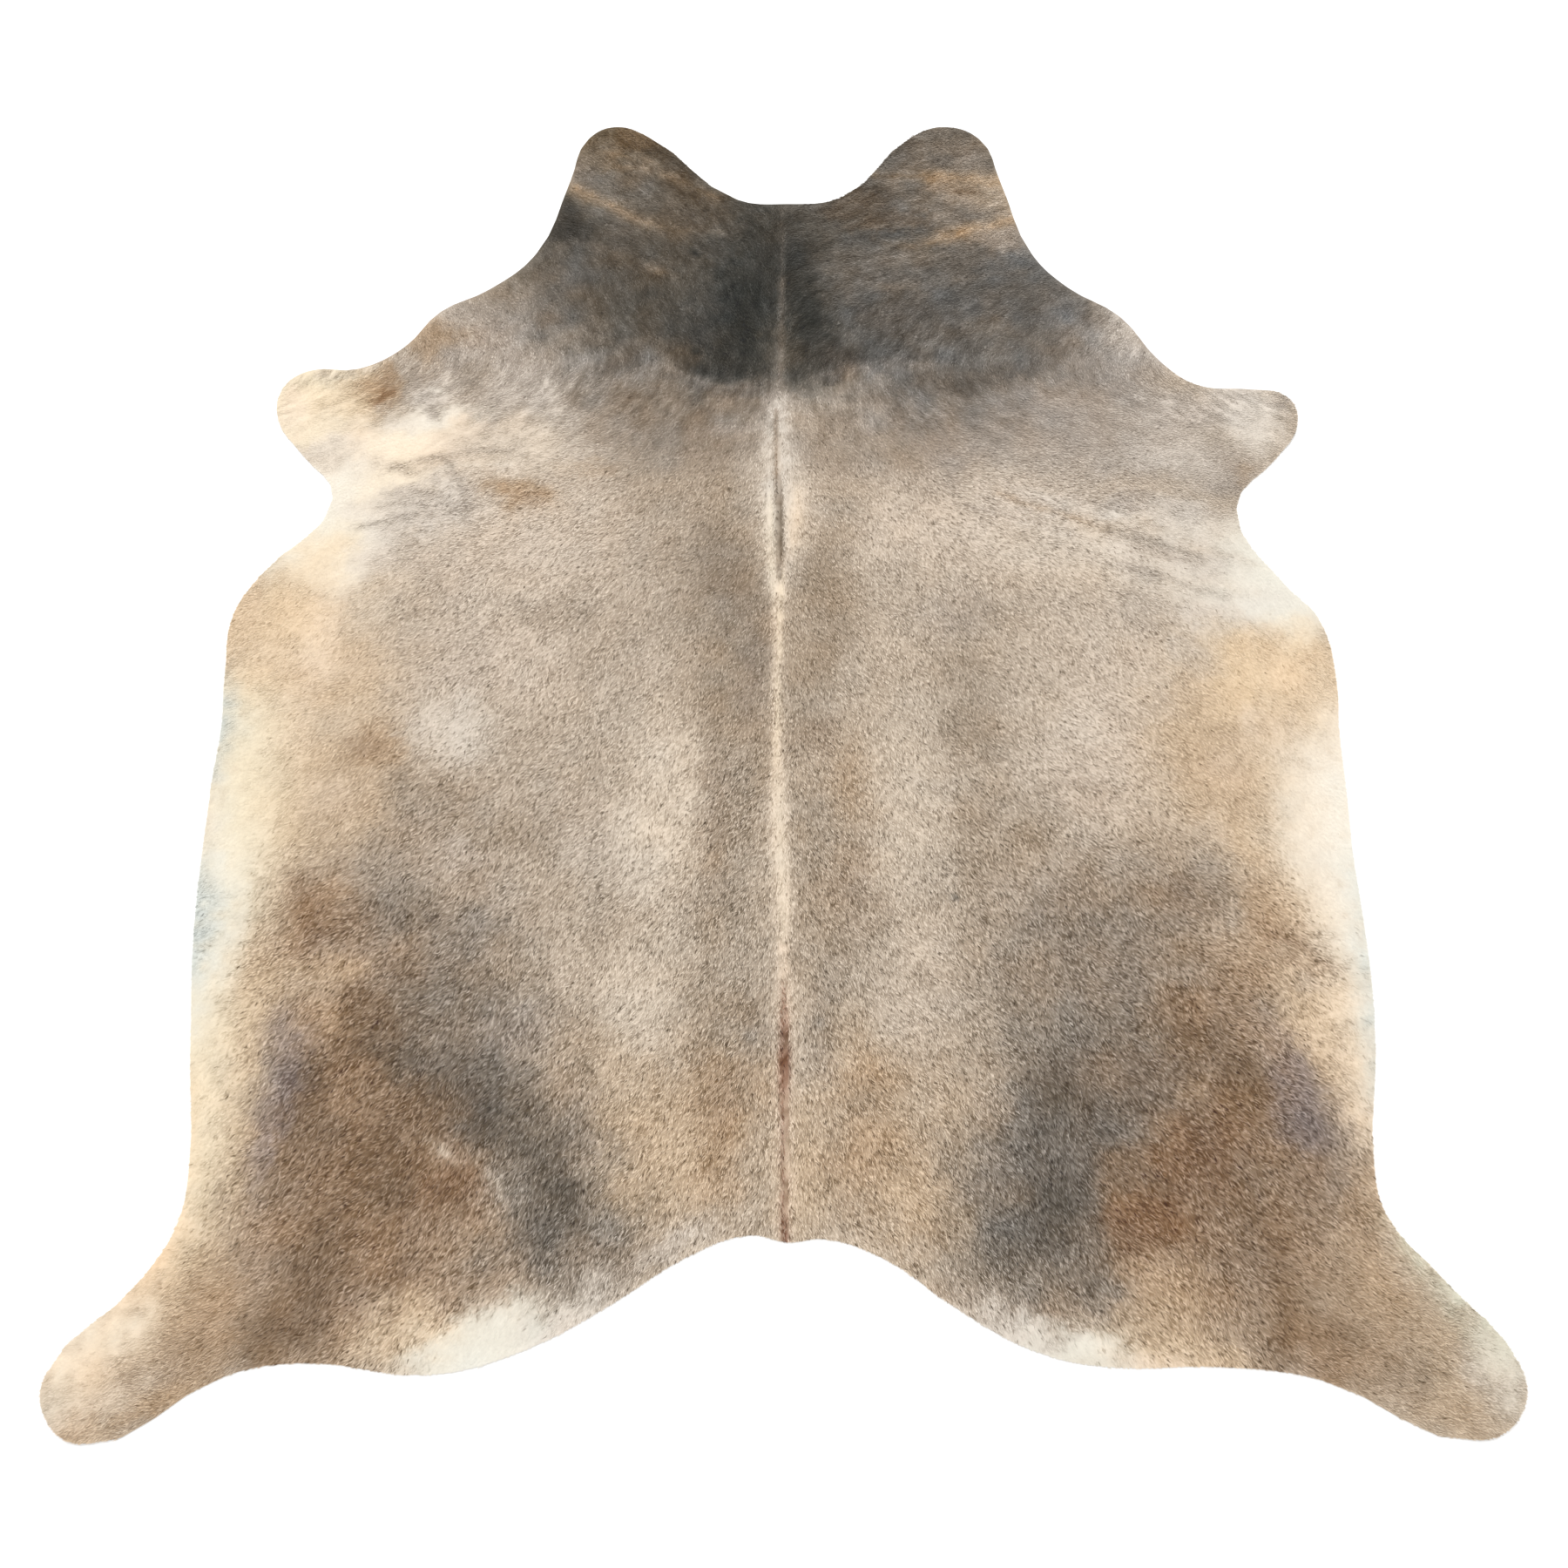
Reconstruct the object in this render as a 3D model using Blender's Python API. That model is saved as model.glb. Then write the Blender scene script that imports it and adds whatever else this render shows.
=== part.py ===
"""Cowhide rug: one whole skin with its short coat, lying hair side up.

The row frame is in metres. +Y runs along the spine to the neck, +X is to the right of
someone who stands at the tail and looks at the neck, and +Z is up. The origin is the
middle of the rug's box, on the surface that it lies on.
"""

from collections import namedtuple
from math import radians

import bmesh
import bpy
from mathutils import Vector

# Driving sizes, in metres
LEATHER_THICKNESS = 0.0025
COAT_DEPTH = 0.0035
HIDE_THICKNESS = LEATHER_THICKNESS + COAT_DEPTH
CELL = 0.040  # the flat skin is divided at this spacing, so that it can bend
SPAN_STEPS = 4  # straight steps between two landmarks of the edge
WELD = 0.0001
SHARP_ANGLE = radians(40.0)

# The finish of the coat
COAT_COLOUR = (0.392, 0.305, 0.223, 1.0)
COAT_ROUGHNESS = 0.62
COAT_METALLIC = 0.0

# The trimmed edge, from the neck to the tail. Each row is a landmark of the edge: how far
# it lies out from the spine and along it on the left side, then the same on the right.
Landmark = namedtuple("Landmark", "name left_out left_along right_out right_along")
EDGE = (
    Landmark("neck scoop", 0.090, 0.970, 0.105, 0.975),
    Landmark("lobe inner corner", 0.265, 1.125, 0.245, 1.125),
    Landmark("lobe top", 0.330, 1.150, 0.310, 1.150),
    Landmark("lobe outer corner", 0.380, 1.120, 0.375, 1.120),
    Landmark("neck side", 0.410, 1.015, 0.410, 1.015),
    Landmark("neck base", 0.465, 0.840, 0.460, 0.840),
    Landmark("shoulder", 0.545, 0.760, 0.520, 0.765),
    Landmark("shoulder slope", 0.630, 0.710, 0.610, 0.700),
    Landmark("shoulder foot", 0.690, 0.630, 0.675, 0.600),
    Landmark("foreleg crook", 0.765, 0.585, 0.735, 0.550),
    Landmark("foreleg top", 0.855, 0.580, 0.825, 0.540),
    Landmark("foreleg corner", 0.895, 0.545, 0.890, 0.520),
    Landmark("foreleg end", 0.895, 0.475, 0.900, 0.460),
    Landmark("foreleg under", 0.845, 0.405, 0.860, 0.400),
    Landmark("armpit", 0.780, 0.315, 0.775, 0.295),
    Landmark("chest", 0.885, 0.165, 0.845, 0.140),
    Landmark("chest foot", 0.920, 0.090, 0.885, 0.090),
    Landmark("belly top", 0.915, -0.025, 0.900, -0.035),
    Landmark("belly bend", 0.905, -0.115, 0.890, -0.115),
    Landmark("belly upper", 0.910, -0.220, 0.885, -0.230),
    Landmark("belly middle", 0.900, -0.395, 0.880, -0.380),
    Landmark("belly foot", 0.880, -0.620, 0.870, -0.630),
    Landmark("flank", 0.855, -0.795, 0.845, -0.780),
    Landmark("thigh", 0.860, -0.870, 0.850, -0.855),
    Landmark("hock", 0.900, -0.945, 0.915, -0.940),
    Landmark("hind leg corner", 1.005, -1.065, 1.000, -1.055),
    Landmark("hind leg end", 1.000, -1.110, 0.995, -1.105),
    Landmark("hind leg foot", 0.945, -1.150, 0.935, -1.145),
    Landmark("hind leg crook", 0.760, -1.065, 0.725, -1.070),
    Landmark("thigh hem", 0.660, -1.050, 0.595, -1.055),
    Landmark("thigh hem middle", 0.485, -1.065, 0.440, -1.055),
    Landmark("thigh hem inner", 0.360, -1.035, 0.340, -1.035),
    Landmark("rump side", 0.240, -0.975, 0.235, -0.980),
    Landmark("rump", 0.140, -0.915, 0.135, -0.915),
    Landmark("rump hump", 0.050, -0.885, 0.050, -0.890),
)
NECK_MIDDLE = (0.0, 0.960)
TAIL_NOTCH = (0.005, -0.895)

# Where the edge doesn't lie flat. Each row is a soft fold: its middle across and along the
# rug, how far it reaches each way, and how high it stands off the floor there.
Fold = namedtuple("Fold", "name across along reach_across reach_along rise")
FOLDS = (
    Fold("left belly upper", -0.930, -0.110, 0.110, 0.150, 0.010),
    Fold("left belly lower", -0.925, -0.440, 0.140, 0.200, 0.014),
    Fold("right belly upper", 0.910, -0.200, 0.120, 0.170, 0.007),
    Fold("right belly lower", 0.905, -0.480, 0.120, 0.220, 0.012),
    Fold("right foreleg", 0.910, 0.500, 0.130, 0.120, 0.007),
    Fold("left hind leg", -1.010, -1.090, 0.150, 0.140, 0.008),
    Fold("right hind leg", 1.010, -1.080, 0.150, 0.140, 0.008),
)

# The two creases along the spine, where the hide was folded and the coat parts. Each row is
# a straight trough in the upper side: where it lies across the rug and between which places
# along it.
Crease = namedtuple("Crease", "name across tail_end neck_end")
CREASES = (
    Crease("shoulder", -0.008, 0.150, 0.480),
    Crease("rump", 0.003, -0.900, -0.530),
)
CREASE_HALF_WIDTH = 0.010
CREASE_DEPTH = 0.0018
CREASE_FADE = 0.060  # it grows to its full depth over this length


def clear_scene():
    """Remove whatever the scene starts with."""
    for item in list(bpy.data.objects):
        bpy.data.objects.remove(item, do_unlink=True)


def coat_material():
    """The finish of the short coat."""
    material = bpy.data.materials.new("coat")
    material.use_nodes = True
    shader = material.node_tree.nodes["Principled BSDF"]
    shader.inputs["Base Color"].default_value = COAT_COLOUR
    shader.inputs["Roughness"].default_value = COAT_ROUGHNESS
    shader.inputs["Metallic"].default_value = COAT_METALLIC
    return material


def edge_points():
    """The landmarks in order round the rug: down the right side and up the left."""
    right = [(row.right_out, row.right_along) for row in EDGE]
    left = [(-row.left_out, row.left_along) for row in EDGE]
    return [NECK_MIDDLE] + right + [TAIL_NOTCH] + left[::-1]


def cut_outline(collection):
    """The trimmed outline as a flat curve, extruded to the hide's thickness."""
    points = edge_points()
    curve = bpy.data.curves.new("hide_outline", "CURVE")
    curve.dimensions = "2D"
    curve.fill_mode = "BOTH"
    curve.extrude = HIDE_THICKNESS / 2
    spline = curve.splines.new("BEZIER")
    spline.bezier_points.add(len(points) - 1)
    for bezier, (across, along) in zip(spline.bezier_points, points):
        bezier.co = (across, along, 0.0)
        bezier.handle_left_type = "AUTO"
        bezier.handle_right_type = "AUTO"
    spline.use_cyclic_u = True
    spline.resolution_u = SPAN_STEPS
    outline = bpy.data.objects.new("hide_outline", curve)
    outline.location.z = HIDE_THICKNESS / 2
    collection.objects.link(outline)
    bpy.context.view_layer.update()
    return outline


def as_mesh(curve_object):
    """The curve's solid as a welded mesh in world space, with one face on each side."""
    depsgraph = bpy.context.evaluated_depsgraph_get()
    mesh = bpy.data.meshes.new_from_object(curve_object.evaluated_get(depsgraph))
    mesh.transform(curve_object.matrix_world)
    bpy.data.objects.remove(curve_object, do_unlink=True)
    bm = bmesh.new()
    bm.from_mesh(mesh)
    bmesh.ops.remove_doubles(bm, verts=bm.verts, dist=WELD)
    inner = [edge for edge in bm.edges if all(abs(face.normal.z) > 0.5 for face in edge.link_faces)]
    bmesh.ops.dissolve_edges(bm, edges=inner, use_verts=False)
    bmesh.ops.recalc_face_normals(bm, faces=bm.faces)
    bm.to_mesh(mesh)
    bm.free()
    return mesh


def split(bm, axis, value):
    """Split the skin along the line where the axis has this value."""
    normal = Vector((0.0, 0.0, 0.0))
    normal[axis] = 1.0
    everything = bm.verts[:] + bm.edges[:] + bm.faces[:]
    bmesh.ops.bisect_plane(bm, geom=everything, dist=WELD, plane_co=normal * value, plane_no=normal)


def divide(bm, axis):
    """Split the skin at every cell line that crosses the given axis."""
    values = [vert.co[axis] for vert in bm.verts]
    first = int(min(values) / CELL) - 1
    last = int(max(values) / CELL) + 1
    for step in range(first, last + 1):
        split(bm, axis, (step + 0.5) * CELL)


def rise_at(across, along):
    """How high the underside stands off the floor at a place on the rug."""
    rise = 0.0
    for fold in FOLDS:
        reach_x = (across - fold.across) / fold.reach_across
        reach_y = (along - fold.along) / fold.reach_along
        near = max(0.0, 1.0 - reach_x ** 2 - reach_y ** 2)
        rise = max(rise, fold.rise * near ** 2)
    return rise


def trough_at(across, along):
    """How deep the upper side dips at a place on the rug."""
    depth = 0.0
    for crease in CREASES:
        aside = abs(across - crease.across) / CREASE_HALF_WIDTH
        inside = min(along - crease.tail_end, crease.neck_end - along) / CREASE_FADE
        depth += CREASE_DEPTH * max(0.0, 1.0 - aside) * min(1.0, max(0.0, inside))
    return depth


def lay_skin(mesh):
    """Divide the flat skin into cells, press its creases in and raise its edge in folds."""
    bm = bmesh.new()
    bm.from_mesh(mesh)
    for axis in (0, 1):
        divide(bm, axis)
    for crease in CREASES:
        for side in (-1, 0, 1):
            split(bm, 0, crease.across + side * CREASE_HALF_WIDTH)
    for vert in bm.verts:
        if vert.co.z > HIDE_THICKNESS / 2:
            vert.co.z -= trough_at(vert.co.x, vert.co.y)
        vert.co.z += rise_at(vert.co.x, vert.co.y)
    bmesh.ops.triangulate(bm, faces=bm.faces)
    bm.to_mesh(mesh)
    bm.free()


def put_origin_under_middle(mesh):
    """Move the mesh so that the middle of its box's underside is at the origin."""
    low = Vector([min(vert.co[axis] for vert in mesh.vertices) for axis in range(3)])
    high = Vector([max(vert.co[axis] for vert in mesh.vertices) for axis in range(3)])
    middle = (low + high) / 2
    for vert in mesh.vertices:
        vert.co -= Vector((middle.x, middle.y, low.z))


def build_hide(collection):
    """The whole skin, coat side up."""
    mesh = as_mesh(cut_outline(collection))
    lay_skin(mesh)
    put_origin_under_middle(mesh)
    mesh.name = "hide"
    mesh.materials.clear()
    mesh.materials.append(coat_material())
    mesh.shade_smooth()
    mesh.set_sharp_from_angle(angle=SHARP_ANGLE)
    hide = bpy.data.objects.new("hide", mesh)
    collection.objects.link(hide)
    return hide


def main():
    """Build the rug in its own collection."""
    clear_scene()
    rug = bpy.data.collections.new("cowhide_rug")
    bpy.context.scene.collection.children.link(rug)
    build_hide(rug)


main()
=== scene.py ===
from math import cos, radians, sin

import bmesh
import bpy
import numpy as np
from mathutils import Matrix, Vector


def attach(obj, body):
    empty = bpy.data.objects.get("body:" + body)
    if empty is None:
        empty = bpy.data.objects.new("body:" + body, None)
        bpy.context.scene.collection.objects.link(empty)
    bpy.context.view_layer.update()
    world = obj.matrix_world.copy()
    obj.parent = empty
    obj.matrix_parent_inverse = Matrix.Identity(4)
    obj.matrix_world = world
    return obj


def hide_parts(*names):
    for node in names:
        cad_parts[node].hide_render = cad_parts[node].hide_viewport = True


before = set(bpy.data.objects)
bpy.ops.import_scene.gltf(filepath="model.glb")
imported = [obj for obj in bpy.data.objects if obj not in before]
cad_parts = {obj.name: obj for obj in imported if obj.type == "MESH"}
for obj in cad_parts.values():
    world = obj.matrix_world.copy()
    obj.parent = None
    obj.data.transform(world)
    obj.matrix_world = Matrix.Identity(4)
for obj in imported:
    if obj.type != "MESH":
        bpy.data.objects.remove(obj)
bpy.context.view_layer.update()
bpy.ops.object.select_all(action="DESELECT")

# Everything is in metres. Across is +X, to the right seen from the tail, and along is +Y, to the neck.

viewMake = {
    "eye": (0.0, -0.917, 1.95),
    "pitchBelowHorizon": 70.0,   # degrees
    "lens": 30.0,                # millimetres on a 36 mm sensor
    "sensor": 36.0,
}

skinMake = {
    "cell": 0.010,
    "leather": 0.0025,
    "inset": 0.0006,             # the leather ends this far inside the solid's rim, under the hair
    "cutShare": 0.15,            # a cell stays if it reaches inside by this share of its size
    "edgeRounds": 6,             # how often the border is drawn nearer to the rim
    "edgeProbe": 0.0008,         # distance over which the way to the rim is measured
    "waveHeight": 0.0016,        # the hide doesn't lie dead flat
    "waves": ((0.21, 0.35), (0.09, 0.25)),    # size and share of each wave
    "waveFade": 0.10,            # the waves grow from the rim inward over this distance
    "creaseDepth": 0.0012,
    "creaseHalfWidth": 0.009,
    "creaseFade": 0.060,
    "wrinkleHeight": 0.0012,
    "wrinkleHalfWidth": 0.009,
    "wrinkleSoft": 0.4,          # share of that width in which a wrinkle's sides fall away
    "skinPaintedShade": 0.92,            # painted shade on the roots seen between the locks: their colour against the hair's, and more of that colour when pale
    "paleTint": 0.12,
    "smoothAngle": 40.0,         # degrees
    "mapShare": 0.49,            # share of the map's width that each side of the leather takes
}

hairMake = {
    "spacing": 0.0031,           # from one lock's root to the next
    "rowShare": 0.866,           # rows of roots stand closer by this, as in a honeycomb
    "jitter": 0.45,              # how far a root strays from its place, as a share of the spacing
    "rootInside": 0.0008,        # no root stands nearer to the rim
    "partAt": 0.62,              # the hair parts where a crease is deeper than this share
    "length": 0.0086,
    "lengthRange": (0.75, 1.25),
    "shortest": 0.15,            # a lock at the rim keeps at least this share of its length
    "width": 0.0023,
    "widthRange": (0.8, 1.25),
    "crestAt": 0.38,             # share of the length where a lock is thickest
    "crestHeight": 0.0012,
    "tipHeight": 0.0022,
    "heightVary": 0.2,           # as a share, from lock to lock
    "rimHeight": 0.55,           # share of its height that a lock has right at the rim
    "rimRise": 0.45,             # and the share that it gains
    "rimBand": 0.012,            # over this distance from the rim
    "rootDepth": 0.0002,         # how far a root goes into the leather
    "curl": 0.10,                # how far a tip strays aside, as a share of the length
    "overhang": 0.0012,          # how far tips may pass the rim
    "overhangRange": (0.3, 1.0),
    "strayAngle": 14.0,          # degrees either way from lock to lock
    "strayWander": 0.15,         # and from tuft to tuft, in radians
    "lean": 0.10,                # how far the locks turn from the light, each its own way
    "tintAt": 0.65,              # a lock has the coat's colour at this share of its length
    # painted shade at a lock's root, less of it at its crest, and painted light at its tip, as shares of
    # its colour
    "rootPaintedShade": 0.68,
    "crestPaintedShade": 0.95,
    "tipPaintedLight": 1.12,
    "lockSpread": 0.275,         # how much the locks' shades differ
    "darkSpread": 1.10,          # and how much more on the dark thighs
    "foreSpread": 0.42,          # how much less from the forelegs on
    "neckSpread": 0.20,          # how much of that comes back on the neck
    "legSpread": 0.4,            # and how much less on the hind legs
    "shadeSkew": 0.40,           # dark locks are darker than light ones are light
    "darkestShade": 0.25,
    "darkRange": (0.15, 0.40),   # hair is dark up to the one brightness, and not from the other
    "paleFrom": 0.36,            # hair is pale from this brightness
    "paleTo": 0.58,
    "paleCalm": 0.95,            # how much of its locks' shades pale hair doesn't show
    "paleSteady": 0.9,           # how much less its locks turn from the light
    "paleFlat": 0.82,            # how much flatter and wider its locks are
    "paleWide": 0.30,
    "paleShade": 0.17,
    "slopeProbe": 0.002,         # distance over which the leather's slope is measured
    "seed": 11,
}

# Where the edge stands off the floor. Each row is a soft fold: its middle across and along,
# how far it reaches each way, and how high it stands.
folds = (
    # name, across, along, reachAcross, reachAlong, rise
    ("left belly upper", -0.930, -0.110, 0.110, 0.150, 0.010),
    ("left belly lower", -0.925, -0.440, 0.140, 0.200, 0.014),
    ("right belly upper", 0.910, -0.200, 0.120, 0.170, 0.007),
    ("right belly lower", 0.905, -0.480, 0.120, 0.220, 0.012),
    ("right foreleg", 0.910, 0.500, 0.130, 0.120, 0.007),
    ("left hind leg", -1.010, -1.090, 0.150, 0.140, 0.008),
    ("right hind leg", 1.010, -1.080, 0.150, 0.140, 0.008),
)

# The creases where the hide was folded along its spine
creases = (
    # name, across, tailEnd, neckEnd
    ("shoulder", -0.008, 0.150, 0.480),
    ("rump", 0.003, -0.900, -0.530),
)

# Wrinkles of the skin behind the forelegs, as soft ridges through these places across and along
wrinkles = (
    ((-0.70, 0.36), (-0.64, 0.395), (-0.58, 0.405), (-0.50, 0.41)),
    ((-0.72, 0.26), (-0.65, 0.28), (-0.58, 0.30), (-0.53, 0.30)),
    ((-0.60, 0.40), (-0.56, 0.30), (-0.53, 0.22)),
    ((0.36, 0.30), (0.50, 0.27), (0.60, 0.23), (0.70, 0.20)),
    ((0.42, 0.25), (0.55, 0.20), (0.65, 0.16), (0.70, 0.14)),
    ((0.30, 0.20), (0.50, 0.12), (0.65, 0.05)),
)

# Coat colours, as red, green and blue on a display. "shade" is no coat colour but painted shadow beside
# the lifted folds of the belly edges
palette = {
    "coal": (50, 50, 46), "charcoal": (64, 61, 56), "smoke": (88, 82, 73), "slate": (96, 89, 81),
    "pewter": (105, 101, 96), "flint": (117, 108, 98), "stone": (131, 120, 107), "ash": (148, 135, 121),
    "dove": (165, 152, 139), "mist": (184, 172, 160), "frost": (203, 192, 180), "pearl": (221, 211, 198),
    "ivory": (240, 232, 217), "butter": (233, 219, 191), "shade": (196, 201, 196), "bark": (90, 76, 60),
    "olive": (114, 97, 74), "umber": (121, 98, 75), "chestnut": (129, 97, 70), "rust": (112, 73, 53),
    "earth": (148, 122, 97), "dusk": (150, 133, 115), "plum": (134, 120, 115), "sand": (182, 154, 123),
    "fawn": (197, 173, 144), "tan": (212, 187, 156), "caramel": (198, 165, 128), "peach": (238, 210, 177),
    "blush": (231, 210, 187), "cream": (244, 229, 204), "linen": (213, 198, 179),
    "darkTaupe": (164, 147, 127), "taupe": (190, 174, 155), "paleTaupe": (206, 190, 172),
    "steel": (128, 124, 120), "fog": (160, 156, 152), "iron": (78, 76, 74), "chalk": (238, 228, 212),
    "bone": (229, 225, 212), "moss": (212, 208, 188), "oat": (231, 206, 172),
}

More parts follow.
